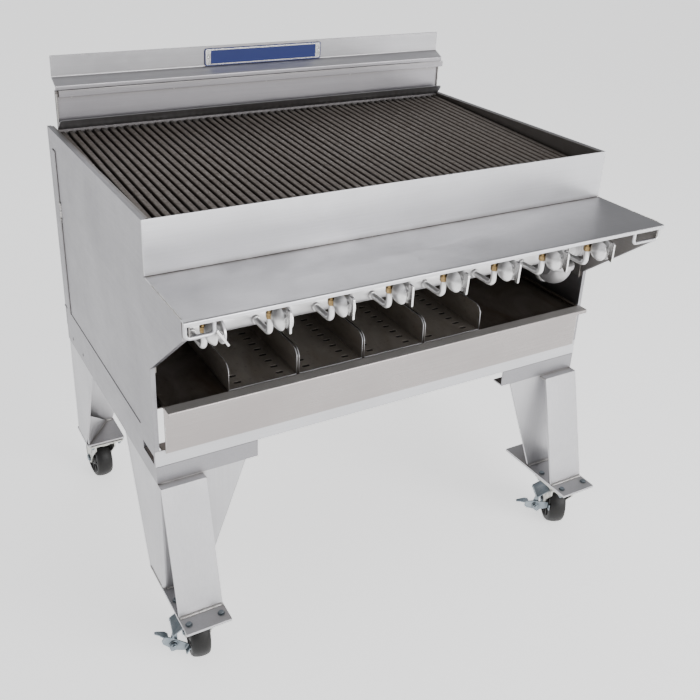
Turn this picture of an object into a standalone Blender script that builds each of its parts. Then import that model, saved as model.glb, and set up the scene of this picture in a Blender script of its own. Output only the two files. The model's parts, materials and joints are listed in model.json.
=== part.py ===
"""Heavy-duty gas charbroiler on a welded stand with four swivel casters.

One object for each sub-part.  X runs across the front, +Y to the rear, +Z up, and the
floor is Z = 0.  All fixed parts hang from one frame empty, whose own origin is on the
floor under the middle of the front panel's face.
"""
import math

import bmesh
import bpy
from mathutils import Matrix, Vector

MM = 0.001
GAP = 0.3 * MM                      # clearance between touching parts

# Driving dimensions -----------------------------------------------------------------
BODY_WIDTH = 1118 * MM              # 44 in class, eight burners
BODY_DEPTH = 710 * MM               # front panel face to rear panel face
BODY_TOP = 1015 * MM                # top edge of the firebox above the floor
FRAME_X = 15.885 * MM               # frame origin in the part's own frame, so that the
FRAME_Y = -276.8 * MM               # part's origin is the middle of its footprint
BURNERS = 8
BURNER_PITCH = 134.5 * MM

SKIN = 10 * MM                      # folded side wall, thickness
LINER = 5 * MM
PANEL_HEIGHT = 110 * MM             # front panel face
SHELF_DEPTH = 199 * MM
SHELF_DROP = 2 * MM                 # fall of the shelf towards its front edge
SHELF_SHEET = 2.5 * MM
CHEEK_FRONT = 31 * MM               # height of the cheek's front edge under the shelf
CHEEK_FOOT_Z = BODY_TOP - 303 * MM  # where the cheek's sloping edge meets the column

RAIL_TOP = BODY_TOP - 496 * MM
RAIL_BOTTOM = BODY_TOP - 534 * MM
ANGLE_BOTTOM = BODY_TOP - 574 * MM
SIDE_SKIRT = BODY_TOP - 478 * MM    # lower edge of the side wall behind the column
COLUMN_DEPTH = 88 * MM
ANGLE_LENGTH = 227 * MM             # front and rear legs of the corner angles
RAIL_SHEET = 3 * MM
RAIL_FLANGE = 28 * MM

LEG_PLATE = 5 * MM
LEG_TOP_X = 198 * MM                # leg plate widths at the top and at the foot
LEG_TOP_Y = 215 * MM
LEG_FOOT_X = 96 * MM
LEG_FOOT_Y = 93 * MM
FOOT_TOP = BODY_TOP - 855 * MM
FOOT_PLATE = 6 * MM
FOOT_WIDTH = 100 * MM
FOOT_FRONT = 143 * MM               # reach of the front foot plate ahead of the column
FOOT_REAR = 88 * MM
STRUT_TOP_REACH = 20 * MM
STRUT_FOOT_REACH = 95 * MM

WHEEL_RADIUS = 60 * MM
WHEEL_WIDTH = 44 * MM
WHEEL_BORE = 7 * MM
AXLE_RADIUS = 6.2 * MM
CASTER_TRAIL = 40 * MM
CASTER_PLATE = (95 * MM, 106 * MM, 5 * MM)
CASTER_INSET = 52 * MM              # swivel axis from the side of the body
FRONT_CASTER_Y = -80 * MM
REAR_CASTER_Y = 655 * MM
FORK_SHEET = 4 * MM
FORK_CLEAR = 3 * MM                 # gap between tyre and fork leg
BRAKE_X = -58 * MM                  # brake pivot, left of the wheel's middle
BRAKE_Y = 0.8 * MM                  # brake pivot, behind the swivel axis
BRAKE_Z = 70 * MM
BRAKE_TILTS = {"front_left": 32, "front_right": 0}   # pedal raised by, degrees
SWIVEL_ANGLES = {                   # heading of each fork about its swivel axis, degrees
    "front_left": -11,
    "front_right": -28,
    "rear_left": 3,
    "rear_right": -14,
}

MANIFOLD_Y = 8 * MM
MANIFOLD_Z = BODY_TOP - 233 * MM
MANIFOLD_RADIUS = 24 * MM
VALVE_Y = -112 * MM
VALVE_Z = BODY_TOP - 191 * MM
DRUM_RADIUS = 24 * MM
FEED_Y = -82 * MM                   # feed tube, vertical run under the brass fitting
FEED_Z = BODY_TOP - 235 * MM        # feed tube, level run into the manifold
FEED_RADIUS = 6.5 * MM
FEED_BEND = 13 * MM
LEVER_X = 1 * MM                    # lever stem, right of the valve's middle
LEVER_Z = VALVE_Z + 7 * MM
LEVER_SIZE = (5 * MM, 16 * MM, 46 * MM)
LEVER_ANGLES = (32, 0, 0, 0, -4, -3, 0, 0)   # how each lever stands, degrees
ELBOW_X = 475 * MM
ELBOW_Z = BODY_TOP - 301 * MM
SUPPLY_RADIUS = 17 * MM
BURNER_Z = BODY_TOP - 237 * MM      # burner tubes' front ends

PAN_TOP = BODY_TOP - 388 * MM
PAN_HALF = 540 * MM
PAN_DEPTH = 688 * MM
PAN_FLOOR = PAN_TOP - 10 * MM
PAN_LIP = 30 * MM
PAN_SHEET = 2 * MM
TRAYS = 4
TRAY_PITCH = 160.3 * MM
TRAY_WIDTH = 157 * MM
TRAY_DEPTH = 560 * MM
TRAY_WALL = 63 * MM
TRAY_FIRST_X = -318 * MM

GRATES = 4
BARS_PER_GRATE = 14
GRATE_SPAN = 1086 * MM
GRATE_REAR_Z = BODY_TOP - 5.5 * MM
GRATE_FRONT_Z = BODY_TOP - 39.2 * MM
GRATE_FRONT_Y = 8 * MM
GRATE_REAR_Y = 662 * MM
GRATE_THICK = 18 * MM
BAR_WIDTH = 12 * MM

SPLASH_HALF = 543.4 * MM

# Scene, collections and materials -----------------------------------------------------


def clear_scene():
    for item in list(bpy.data.objects):
        bpy.data.objects.remove(item, do_unlink=True)


def new_collection(name):
    group = bpy.data.collections.new(name)
    bpy.context.scene.collection.children.link(group)
    return group


clear_scene()
PARTS = new_collection("gas_charbroiler")
CUTTERS = new_collection("cutters")


def material(name, colour, roughness, metallic):
    made = bpy.data.materials.new(name)
    made.use_nodes = True
    shader = made.node_tree.nodes["Principled BSDF"]
    shader.inputs["Base Color"].default_value = (*colour, 1.0)
    shader.inputs["Roughness"].default_value = roughness
    shader.inputs["Metallic"].default_value = metallic
    return made


SATIN = material("satin_steel", (0.62, 0.62, 0.64), 0.34, 1.0)
SILVER = material("silver_painted_steel", (0.60, 0.60, 0.62), 0.45, 0.6)
PAN_STEEL = material("pan_steel", (0.52, 0.49, 0.47), 0.32, 1.0)
IRON = material("cast_iron", (0.06, 0.05, 0.045), 0.75, 0.3)
ZINC = material("zinc_plate", (0.58, 0.60, 0.60), 0.35, 1.0)
BRASS_STEEL = material("valve_metal", (0.68, 0.67, 0.64), 0.28, 1.0)
RUBBER = material("black_tyre", (0.02, 0.02, 0.02), 0.6, 0.0)
BURNER = material("burner_iron", (0.10, 0.09, 0.085), 0.7, 0.5)
BADGE = material("badge_blue", (0.05, 0.12, 0.35), 0.4, 0.2)

# Building tools -----------------------------------------------------------------------


def link(obj, group=PARTS):
    for owner in list(obj.users_collection):
        owner.objects.unlink(obj)
    group.objects.link(obj)
    return obj


def mesh_object(name, mesh, look, group=PARTS):
    obj = bpy.data.objects.new(name, mesh)
    group.objects.link(obj)
    if look is not None:
        mesh.materials.clear()
        mesh.materials.append(look)
    return obj


def as_mesh(obj, look=None, name=None):
    """Turn a curve object, or one with modifiers, into a plain closed mesh object."""
    bpy.context.view_layer.update()
    seen = obj.evaluated_get(bpy.context.evaluated_depsgraph_get())
    mesh = bpy.data.meshes.new_from_object(seen)
    work = bmesh.new()
    work.from_mesh(mesh)
    bmesh.ops.remove_doubles(work, verts=work.verts, dist=1e-6)
    work.to_mesh(mesh)
    work.free()
    group = obj.users_collection[0]
    place = obj.matrix_world.copy()
    title = name or obj.name
    data = obj.data
    bpy.data.objects.remove(obj, do_unlink=True)
    if isinstance(data, bpy.types.Curve):
        bpy.data.curves.remove(data)
    made = mesh_object(title, mesh, look, group)
    made.matrix_world = place
    return made


def box(name, low, high, look=None, group=PARTS):
    """An axis-aligned block between two corners."""
    mesh = bpy.data.meshes.new(name)
    work = bmesh.new()
    bmesh.ops.create_cube(work, size=1.0)
    size = Vector(high) - Vector(low)
    middle = (Vector(high) + Vector(low)) / 2
    bmesh.ops.transform(work, matrix=Matrix.Diagonal((*size, 1.0)), verts=work.verts)
    work.to_mesh(mesh)
    work.free()
    obj = mesh_object(name, mesh, look, group)
    obj.location = middle
    return obj


AXIS_TURNS = {
    "X": Matrix(((0, 0, 1, 0), (1, 0, 0, 0), (0, 1, 0, 0), (0, 0, 0, 1))),
    "Y": Matrix(((1, 0, 0, 0), (0, 0, -1, 0), (0, 1, 0, 0), (0, 0, 0, 1))),
    "Z": Matrix.Identity(4),
}


def plate(name, outlines, axis, low, high, look=None, group=PARTS):
    """A flat outline, with holes, given thickness along one axis.

    Outlines are (y, z) pairs for axis X, (x, z) for axis Y and (x, y) for axis Z.
    """
    curve = bpy.data.curves.new(name, "CURVE")
    curve.dimensions = "2D"
    curve.fill_mode = "BOTH"
    curve.render_resolution_u = 0
    curve.extrude = (high - low) / 2
    for outline in outlines:
        spline = curve.splines.new("POLY")
        spline.points.add(len(outline) - 1)
        for point, (first, second) in zip(spline.points, outline):
            point.co = (first, second, 0.0, 1.0)
        spline.use_cyclic_u = True
    obj = bpy.data.objects.new(name, curve)
    group.objects.link(obj)
    middle = (low + high) / 2
    shift = {"X": (middle, 0, 0), "Y": (0, middle, 0), "Z": (0, 0, middle)}[axis]
    obj.matrix_world = Matrix.Translation(shift) @ AXIS_TURNS[axis]
    return as_mesh(obj, look)


def tube(name, points, radius, look=None, sides=2, group=PARTS):
    """A round bar through the points, with flat closed ends."""
    curve = bpy.data.curves.new(name, "CURVE")
    curve.dimensions = "3D"
    curve.render_resolution_u = 0
    curve.bevel_depth = radius
    curve.bevel_resolution = sides
    curve.use_fill_caps = True
    spline = curve.splines.new("POLY")
    spline.points.add(len(points) - 1)
    for point, place in zip(spline.points, points):
        point.co = (*place, 1.0)
    obj = bpy.data.objects.new(name, curve)
    group.objects.link(obj)
    return as_mesh(obj, look)


def turned(name, profile, steps, look=None, axis="Z", place=(0, 0, 0), group=PARTS):
    """A profile of (radius, height) pairs, top to bottom, turned about an axis."""
    mesh = bpy.data.meshes.new(name)
    work = bmesh.new()
    verts = [work.verts.new((radius, 0.0, height)) for radius, height in profile]
    closed = profile[0][0] > 0 and profile[-1][0] > 0
    for first, second in zip(verts, verts[1:]):
        work.edges.new((first, second))
    if closed:
        work.edges.new((verts[-1], verts[0]))
    work.to_mesh(mesh)
    work.free()
    obj = mesh_object(name, mesh, look, group)
    screw = obj.modifiers.new("turn", "SCREW")
    screw.steps = steps
    screw.render_steps = steps
    screw.use_merge_vertices = True
    screw.merge_threshold = 1e-5
    screw.use_smooth_shade = False
    obj.matrix_world = Matrix.Translation(place) @ AXIS_TURNS[axis]
    return as_mesh(obj, look)


def combine(base, others, operation="UNION"):
    """Join or cut the base with the others, which become hidden tool objects."""
    for tool in others:
        link(tool, CUTTERS)
        tool.hide_render = True
        tool.display_type = "WIRE"
        step = base.modifiers.new(operation.lower(), "BOOLEAN")
        step.operation = operation
        step.solver = "EXACT"
        step.object = tool
    return base


def fused(name, pieces, look, cutters=()):
    """Weld overlapping pieces into one closed body, then cut it."""
    base = pieces[0]
    combine(base, pieces[1:])
    combine(base, cutters, "DIFFERENCE")
    made = as_mesh(base, look, name)
    for tool in list(pieces[1:]) + list(cutters):
        bpy.data.objects.remove(tool, do_unlink=True)
    made.name = name
    return made


def smooth(obj, degrees=35):
    obj.data.shade_smooth()
    obj.data.set_sharp_from_angle(angle=math.radians(degrees))
    return obj


def empty(name, place, parent=None, turn=0.0):
    pivot = bpy.data.objects.new(name, None)
    pivot.empty_display_size = 0.03
    PARTS.objects.link(pivot)
    pivot.parent = parent
    pivot.location = place
    pivot.rotation_euler = (0, 0, turn)
    return pivot


def attach(obj, parent):
    """Parent a piece that was modelled in its parent's coordinates."""
    obj.parent = parent
    return obj


def arc(centre, radius, start, end, steps):
    """Points on an arc, angles in degrees."""
    turns = [start + (end - start) * step / steps for step in range(steps + 1)]
    return [
        (centre[0] + radius * math.cos(math.radians(turn)),
         centre[1] + radius * math.sin(math.radians(turn)))
        for turn in turns
    ]


def sheet_outline(path, thickness):
    """Outline of a folded sheet whose outer face follows the path, on its left side."""
    directions = []
    for first, second in zip(path, path[1:]):
        run = Vector((second[0] - first[0], second[1] - first[1]))
        directions.append(run.normalized())
    inner = []
    for index, point in enumerate(path):
        before = directions[max(index - 1, 0)]
        after = directions[min(index, len(directions) - 1)]
        normal_before = Vector((-before.y, before.x))
        normal_after = Vector((-after.y, after.x))
        miter = (normal_before + normal_after).normalized()
        reach = thickness / max(miter.dot(normal_after), 0.3)
        inner.append((point[0] + miter.x * reach, point[1] + miter.y * reach))
    return list(path) + inner[::-1]


def mirrored(side):
    """Bounds helper: side is -1 for left and 1 for right."""

    def span(near, far):
        return (min(side * near, side * far), max(side * near, side * far))

    return span


HALF = BODY_WIDTH / 2
FRAME = empty("charbroiler_frame", (FRAME_X, FRAME_Y, 0.0))

# Sheet metal body ----------------------------------------------------------------------


def side_panel(label, side):
    """Side wall with its cheek under the shelf, column, firebox liner and pan ledge."""
    span = mirrored(side)
    shelf_under = BODY_TOP - PANEL_HEIGHT - SHELF_SHEET - 2 * GAP
    cheek_top = shelf_under - SHELF_DROP
    slot_top = RAIL_BOTTOM + 22 * MM
    outline = [
        (4 * MM + GAP, BODY_TOP),
        (BODY_DEPTH, BODY_TOP),
        (BODY_DEPTH, SIDE_SKIRT),
        (COLUMN_DEPTH, SIDE_SKIRT),
        (COLUMN_DEPTH, RAIL_BOTTOM + GAP),
        (COLUMN_DEPTH - SKIN, RAIL_BOTTOM + GAP),
        (COLUMN_DEPTH - SKIN, slot_top),
        (SKIN, slot_top),
        (SKIN, RAIL_BOTTOM + GAP),
        (RAIL_SHEET + GAP, RAIL_BOTTOM + GAP),
        (RAIL_SHEET + GAP, RAIL_TOP + GAP),
        (0.0, RAIL_TOP + GAP),
        (0.0, CHEEK_FOOT_Z),
        (-SHELF_DEPTH, cheek_top - CHEEK_FRONT),
        (-SHELF_DEPTH, cheek_top),
        (0.0, shelf_under),
        (4 * MM + GAP, shelf_under),
    ]
    wall = plate("wall", [outline], "X", *span(HALF - SKIN, HALF))
    liner_low = BODY_TOP - 320 * MM
    liner_x = span(HALF - SKIN - LINER, HALF - SKIN / 2)
    liner = box("liner", (liner_x[0], 8 * MM, liner_low), (liner_x[1], BODY_DEPTH - 8 * MM, BODY_TOP))
    ledge_x = span(HALF - SKIN - 24 * MM, HALF - SKIN / 2)
    ledge_top = PAN_FLOOR - PAN_SHEET - GAP
    ledge = box("ledge", (ledge_x[0], 10 * MM, ledge_top - 3 * MM), (ledge_x[1], 650 * MM, ledge_top))
    return attach(fused("side_panel_" + label, [wall, liner, ledge], SATIN), FRAME)


def front_panel():
    low = (-HALF, 0.0, BODY_TOP - PANEL_HEIGHT)
    return attach(box("front_panel", low, (HALF, 4 * MM, BODY_TOP), SATIN), FRAME)


def rear_panel():
    half = HALF - SKIN - LINER - GAP
    low = (-half, BODY_DEPTH - 5 * MM, SIDE_SKIRT + GAP)
    sheet = box("sheet", low, (half, BODY_DEPTH - 2 * MM, BODY_TOP - 30 * MM))
    hole = arc((ELBOW_X, ELBOW_Z), SUPPLY_RADIUS + 4 * MM, 0, 330, 11)
    port = plate("port", [hole], "Y", BODY_DEPTH - 20 * MM, BODY_DEPTH + 20 * MM)
    return attach(fused("rear_panel", [sheet], SATIN, [port]), FRAME)


def front_shelf():
    """Landing shelf with a turned-down front lip and a bar loop at each end."""
    top = BODY_TOP - PANEL_HEIGHT - GAP
    path = [
        (-GAP, top),
        (-SHELF_DEPTH - 3 * MM, top - SHELF_DROP),
        (-SHELF_DEPTH - 3 * MM, top - SHELF_DROP - 12 * MM),
    ]
    sheet = plate("sheet", [sheet_outline(path, SHELF_SHEET)], "X", -HALF, HALF)
    # The lip stays clear of the cheeks' front edges.
    loops = []
    for side, reach in ((-1, 57 * MM), (1, 78 * MM)):
        start = HALF - SKIN - 2 * MM
        inner = HALF - reach
        low = top - 37 * MM
        bar_y = -SHELF_DEPTH + 8 * MM
        bend = [
            (inner + 10 * MM + x, low + 10 * MM + z)
            for x, z in arc((0.0, 0.0), 10 * MM, 270, 180, 4)
        ]
        points = [(start, low)] + bend + [(inner, top - 3 * MM)]
        loops.append(tube("loop", [(side * x, bar_y, z) for x, z in points], 4 * MM))
    return attach(fused("front_shelf", [sheet] + loops, SATIN), FRAME)


def backsplash():
    """Folded splash: upright, sloping ledge with a front lip, and the lower face."""
    path = [
        (664 * MM, BODY_TOP - 40 * MM),
        (664 * MM, BODY_TOP + 92 * MM),
        (652 * MM, BODY_TOP + 92 * MM),
        (652 * MM, BODY_TOP + 104 * MM),
        (683 * MM, BODY_TOP + 119 * MM),
        (681 * MM, BODY_TOP + 169 * MM),
    ]
    outline = sheet_outline(path, -2.5 * MM)
    sheet = plate("sheet", [outline], "X", -SPLASH_HALF, SPLASH_HALF)
    rod_low = BODY_TOP + 76 * MM
    rod = box("rod", (-SPLASH_HALF + 8 * MM, 657 * MM, rod_low),
              (SPLASH_HALF + 10 * MM, 665 * MM, rod_low + 12 * MM))
    return attach(fused("backsplash", [sheet, rod], SATIN), FRAME)


def splash_deflector():
    """Sloping plate along the grates' rear ends, with rounded upper corners."""
    half = HALF - SKIN - LINER - GAP
    height = 32 * MM
    right = arc((half - 8 * MM, height - 8 * MM), 8 * MM, 0, 90, 4)
    left = arc((-half + 8 * MM, height - 8 * MM), 8 * MM, 90, 180, 4)
    outline = [(-half, 0.0), (half, 0.0)] + right + left
    lean = plate("splash_deflector", [outline], "Y", -1 * MM, 1 * MM, SATIN)
    lean.matrix_world = (
        Matrix.Translation((0, 659 * MM, BODY_TOP + 1 * MM))
        @ Matrix.Rotation(math.radians(38), 4, "X")
        @ lean.matrix_world
    )
    return attach(lean, FRAME)


def nameplate():
    low = (-167 * MM, 679.6 * MM, BODY_TOP + 119.5 * MM)
    plate_box = box("nameplate", low, (167 * MM, 680.7 * MM, BODY_TOP + 163 * MM), BADGE)
    return attach(plate_box, FRAME)


# Base frame and legs --------------------------------------------------------------------


def base_rail(name, face_y, inward, top):
    """Cross rail of channel section; inward is +1 when its flanges point to the rear."""
    span = mirrored(inward)
    face = span(0.0, RAIL_SHEET)
    flange = span(RAIL_SHEET / 2, RAIL_FLANGE)
    flange_half = HALF - SKIN - LINER
    low = RAIL_BOTTOM + GAP
    pieces = [box("face", (-HALF, face_y + face[0], low), (HALF, face_y + face[1], top))]
    for bottom in (low, top - RAIL_SHEET):
        pieces.append(box(
            "flange",
            (-flange_half, face_y + flange[0], bottom),
            (flange_half, face_y + flange[1], bottom + RAIL_SHEET),
        ))
    return attach(fused(name, pieces, SATIN), FRAME)


def side_base_rail(label, side):
    """Side rail of the stand with the corner angles that the legs bolt to."""
    span = mirrored(side)
    rear = BODY_DEPTH - RAIL_SHEET - GAP
    face_x = span(HALF - 1 * MM - RAIL_SHEET, HALF - 1 * MM)
    outline = [
        (0.0, ANGLE_BOTTOM),
        (BODY_DEPTH, ANGLE_BOTTOM),
        (BODY_DEPTH, RAIL_BOTTOM),
        (rear, RAIL_BOTTOM),
        (rear, SIDE_SKIRT - GAP),
        (COLUMN_DEPTH + GAP, SIDE_SKIRT - GAP),
        (COLUMN_DEPTH + GAP, RAIL_BOTTOM),
        (0.0, RAIL_BOTTOM),
    ]
    pieces = [plate("face", [outline], "X", *face_x)]
    flange_x = span(HALF - 31 * MM, HALF - 2.5 * MM)
    pieces.append(box("flange", (flange_x[0], 1 * MM, ANGLE_BOTTOM),
                      (flange_x[1], BODY_DEPTH - 1 * MM, ANGLE_BOTTOM + RAIL_SHEET)))
    corner_x = span(HALF - ANGLE_LENGTH, HALF - 1.5 * MM)
    for low_y, high_y, foot_low, foot_high in (
        (0.0, RAIL_SHEET, 1 * MM, 32 * MM),
        (BODY_DEPTH - RAIL_SHEET, BODY_DEPTH, BODY_DEPTH - 32 * MM, BODY_DEPTH - 1 * MM),
    ):
        pieces.append(box("angle", (corner_x[0], low_y, ANGLE_BOTTOM),
                          (corner_x[1], high_y, RAIL_BOTTOM)))
        pieces.append(box("foot", (corner_x[0], foot_low, ANGLE_BOTTOM),
                          (corner_x[1], foot_high, ANGLE_BOTTOM + RAIL_SHEET)))
    return attach(fused("side_base_rail_" + label, pieces, SATIN), FRAME)


def leg(label, side, front):
    """Bent and tapered corner plate on a foot plate; a front leg has a raking strut."""
    top = ANGLE_BOTTOM - GAP
    corner_y = 0.0 if front else BODY_DEPTH
    inward = 1 if front else -1
    radius = 10 * MM

    def plan(points):
        return [(side * (HALF - 1 * MM - x), corner_y + inward * y) for x, y in points]

    outer = arc((radius, radius), radius, 180, 270, 4)
    inner = arc((radius, radius), radius - LEG_PLATE, 270, 180, 4)
    section = (
        [(0.0, LEG_TOP_Y)] + outer + [(LEG_TOP_X, 0.0), (LEG_TOP_X, LEG_PLATE)]
        + inner + [(LEG_PLATE, LEG_TOP_Y)]
    )
    shell = plate("shell", [plan(section)], "Z", FOOT_TOP - FOOT_PLATE / 2, top)

    # Wedges take the taper off the two inner edges.
    far = 400 * MM
    wedge_x = [
        (LEG_TOP_X, top + 1 * MM),
        (LEG_FOOT_X, FOOT_TOP),
        (LEG_FOOT_X, FOOT_TOP - far),
        (far, FOOT_TOP - far),
        (far, top + 1 * MM),
    ]
    wedge_y = [
        (LEG_TOP_Y, top + 1 * MM),
        (LEG_FOOT_Y, FOOT_TOP),
        (LEG_FOOT_Y, FOOT_TOP - far),
        (far, FOOT_TOP - far),
        (far, top + 1 * MM),
    ]
    side_cut = plate("taper", [[(side * (HALF - 1 * MM - x), z) for x, z in wedge_x]],
                     "Y", corner_y - far, corner_y + far)
    depth_cut = plate("taper", [[(corner_y + inward * y, z) for y, z in wedge_y]],
                      "X", -HALF - far, HALF + far)
    combine(shell, [side_cut, depth_cut], "DIFFERENCE")
    shell = as_mesh(shell)
    for tool in (side_cut, depth_cut):
        bpy.data.objects.remove(tool, do_unlink=True)

    def block(low, high):
        xs = sorted((side * (HALF - 1 * MM - low[0]), side * (HALF - 1 * MM - high[0])))
        ys = sorted((corner_y + inward * low[1], corner_y + inward * high[1]))
        return box("block", (xs[0], ys[0], low[2]), (xs[1], ys[1], high[2]))

    flange_low = top - LEG_PLATE
    pieces = [shell]
    pieces.append(block((4 * MM, 3 * MM, flange_low), (LEG_TOP_X - 4 * MM, 34 * MM, top)))
    pieces.append(block((3 * MM, 4 * MM, flange_low), (33 * MM, LEG_TOP_Y - 4 * MM, top)))
    foot_ahead = FOOT_FRONT if front else 0.0
    foot_behind = FOOT_REAR if front else 105 * MM
    pieces.append(block((-0.6 * MM, -foot_ahead - 0.6 * MM, FOOT_TOP - FOOT_PLATE),
                        (FOOT_WIDTH, foot_behind, FOOT_TOP)))
    span = mirrored(side)
    if front:
        path = [
            (2.5 * MM, top - 1.5 * MM),
            (-STRUT_TOP_REACH, top - 1.5 * MM),
            (-STRUT_FOOT_REACH, FOOT_TOP - 2 * MM),
        ]
        strut_x = span(HALF - FOOT_WIDTH, HALF - 1.8 * MM)
        pieces.append(plate("strut", [sheet_outline(path, LEG_PLATE)], "X", *strut_x))
    else:
        # Triangular web across the corner, its foot on the foot plate.
        web = [(0.0, 0.0), (126 * MM, 0.0), (0.0, 96 * MM)]
        gusset = plate("web", [web], "Y", -2 * MM, 2 * MM)
        turn = math.atan2(-100, 78)
        place = (side * (HALF - 4 * MM), BODY_DEPTH - 102 * MM, FOOT_TOP - 1 * MM)
        flip = Matrix.Diagonal((-side, 1.0, 1.0, 1.0))
        gusset.matrix_world = (
            Matrix.Translation(place) @ flip @ Matrix.Rotation(-turn, 4, "Z") @ gusset.matrix_world
        )
        gusset = as_mesh(gusset)
        if side > 0:
            gusset.data.flip_normals()
        pieces.append(gusset)
    name = "leg_%s_%s" % ("front" if front else "rear", label)
    return attach(fused(name, pieces, SATIN), FRAME)


# Casters --------------------------------------------------------------------------------


def caster_mount(label, place):
    """Bolted top plate with the upper raceway and king pin."""
    width, depth, thick = CASTER_PLATE
    top = FOOT_TOP - FOOT_PLATE - GAP
    low = (place[0] - width / 2, place[1] - depth / 2, top - thick)
    base = box("base", low, (place[0] + width / 2, place[1] + depth / 2, top))
    race = turned("race", [(0.0, 1 * MM), (30 * MM, 1 * MM), (27 * MM, -6 * MM), (0.0, -6 * MM)],
                  20, place=(place[0], place[1], top - thick))
    return attach(fused("caster_mount_" + label, [base, race], ZINC), FRAME)


def caster(label, place):
    """Swivelling fork with its axle, and the wheel that turns on it."""
    swivel = empty("caster_swivel_" + label, (place[0], place[1], 0.0), FRAME,
                   math.radians(SWIVEL_ANGLES[label]))
    top = FOOT_TOP - FOOT_PLATE - CASTER_PLATE[2] - 6 * MM - 2 * GAP
    crown_low = top - 11 * MM
    reach = WHEEL_WIDTH / 2 + FORK_CLEAR
    crown = turned("crown", [(0.0, top), (27 * MM, top), (33 * MM, top - 6 * MM),
                             (33 * MM, crown_low), (0.0, crown_low)], 16)
    bridge = box("bridge", (-reach - FORK_SHEET, -26 * MM, crown_low),
                 (reach + FORK_SHEET, 44 * MM, crown_low + FORK_SHEET))
    pieces = [crown, bridge]
    leg_outline = (
        [(-26 * MM, crown_low + FORK_SHEET), (-26 * MM, crown_low - 12 * MM)]
        + arc((CASTER_TRAIL, WHEEL_RADIUS), 15 * MM, 200, 340, 6)
        + [(60 * MM, crown_low - 14 * MM), (60 * MM, crown_low + FORK_SHEET)]
    )
    for side in (-1, 1):
        span = mirrored(side)
        pieces.append(plate("fork_leg", [leg_outline], "X", *span(reach, reach + FORK_SHEET)))
        boss = [(0.0, 1 * MM), (9.5 * MM, 1 * MM), (9.5 * MM, -5 * MM), (0.0, -5 * MM)]
        nut_x = side * (reach + FORK_SHEET) + (5 * MM if side > 0 else 0.0)
        pieces.append(turned("nut", boss, 6, axis="X", place=(nut_x, CASTER_TRAIL, WHEEL_RADIUS)))
    axle = tube("axle", [(-reach - FORK_SHEET - 1 * MM, CASTER_TRAIL, WHEEL_RADIUS),
                         (reach + FORK_SHEET + 1 * MM, CASTER_TRAIL, WHEEL_RADIUS)],
                AXLE_RADIUS, sides=3)
    pieces.append(axle)
    if label in BRAKE_TILTS:
        pieces += brake_bracket()
    fork = attach(fused("caster_fork_" + label, pieces, ZINC), swivel)

    hub = empty("caster_hub_" + label, (0.0, CASTER_TRAIL, WHEEL_RADIUS), swivel)
    half = WHEEL_WIDTH / 2
    tread = arc((WHEEL_RADIUS - 8 * MM, half - 8 * MM), 8 * MM, 90, 0, 2)
    lower = [(r, -z) for r, z in reversed(tread)]
    profile = (
        [(WHEEL_BORE, half - 1 * MM), (20 * MM, half - 1 * MM), (24 * MM, half - 6 * MM),
         (41 * MM, half - 5 * MM)]
        + tread + lower
        + [(41 * MM, -half + 5 * MM), (24 * MM, -half + 6 * MM),
           (20 * MM, -half + 1 * MM), (WHEEL_BORE, -half + 1 * MM)]
    )
    wheel = attach(turned("wheel_" + label, profile, 24, RUBBER, axis="X"), hub)
    smooth(wheel)
    return swivel, hub, fork


def brake_bracket():
    """Sloping hood off the fork's left leg, with the flange that carries the brake's bolt."""
    root = -(WHEEL_WIDTH / 2 + FORK_CLEAR + 0.5 * MM)
    hood_line = [
        (root, 129.5 * MM),
        (-60 * MM, 104.5 * MM),
        (-60 * MM, 96 * MM),
        (-57.5 * MM, 96 * MM),
        (-57.5 * MM, 102.5 * MM),
        (root, 125.5 * MM),
    ]
    hood = plate("hood", [hood_line], "Y", -12 * MM, 40 * MM)
    flange_line = [
        (-65 * MM, 60 * MM),
        (-49 * MM, 60 * MM),
        (-49 * MM, 110 * MM),
        (-58.7 * MM, 103.5 * MM),
        (-65 * MM, 78 * MM),
    ]
    flange = plate("flange", [flange_line], "Y", BRAKE_Y + 1.5 * MM, BRAKE_Y + 4.5 * MM)
    return [hood, flange]


def brake_lever(label, swivel):
    """See-saw brake lever: a plate on its pivot, a tab beside the tread and a pedal."""
    pivot = empty("brake_pivot_" + label, (BRAKE_X, BRAKE_Y, BRAKE_Z), swivel)
    pivot.rotation_euler = (0.0, math.radians(BRAKE_TILTS[label]), 0.0)
    outline = [
        (-29 * MM, -2 * MM),
        (-22 * MM, -8 * MM),
        (-4 * MM, -12 * MM),
        (5 * MM, -20 * MM),
        (13 * MM, -13 * MM),
        (33 * MM, -8 * MM),
        (33 * MM, 11 * MM),
        (-8 * MM, 14 * MM),
        (-29 * MM, 11 * MM),
    ]
    web = plate("web", [outline], "Y", -3 * MM, 0.0)
    flat = [
        (-50.7 * MM, 2 * MM),
        (-50.7 * MM, 13 * MM),
        (-26 * MM, 17 * MM),
        (-20 * MM, 14 * MM),
        (-20 * MM, -2 * MM),
        (-36 * MM, -2 * MM),
    ]
    pedal = plate("pedal", [flat], "Z", 7 * MM, 10 * MM)
    tab = box("tab", (29.6 * MM, -15 * MM, -6.5 * MM), (32.4 * MM, -1 * MM, 9.5 * MM))
    nut = turned("nut", [(0.0, 1 * MM), (8.5 * MM, 1 * MM), (8.5 * MM, -6 * MM), (0.0, -6 * MM)],
                 6, axis="Y", place=(0.0, -8.5 * MM, 0.0))
    made = fused("brake_lever_" + label, [web, pedal, tab, nut], ZINC)
    attach(made, pivot)
    return pivot


# Gas train ------------------------------------------------------------------------------


def valve_x(index):
    return (index - (BURNERS - 1) / 2) * BURNER_PITCH


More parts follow.
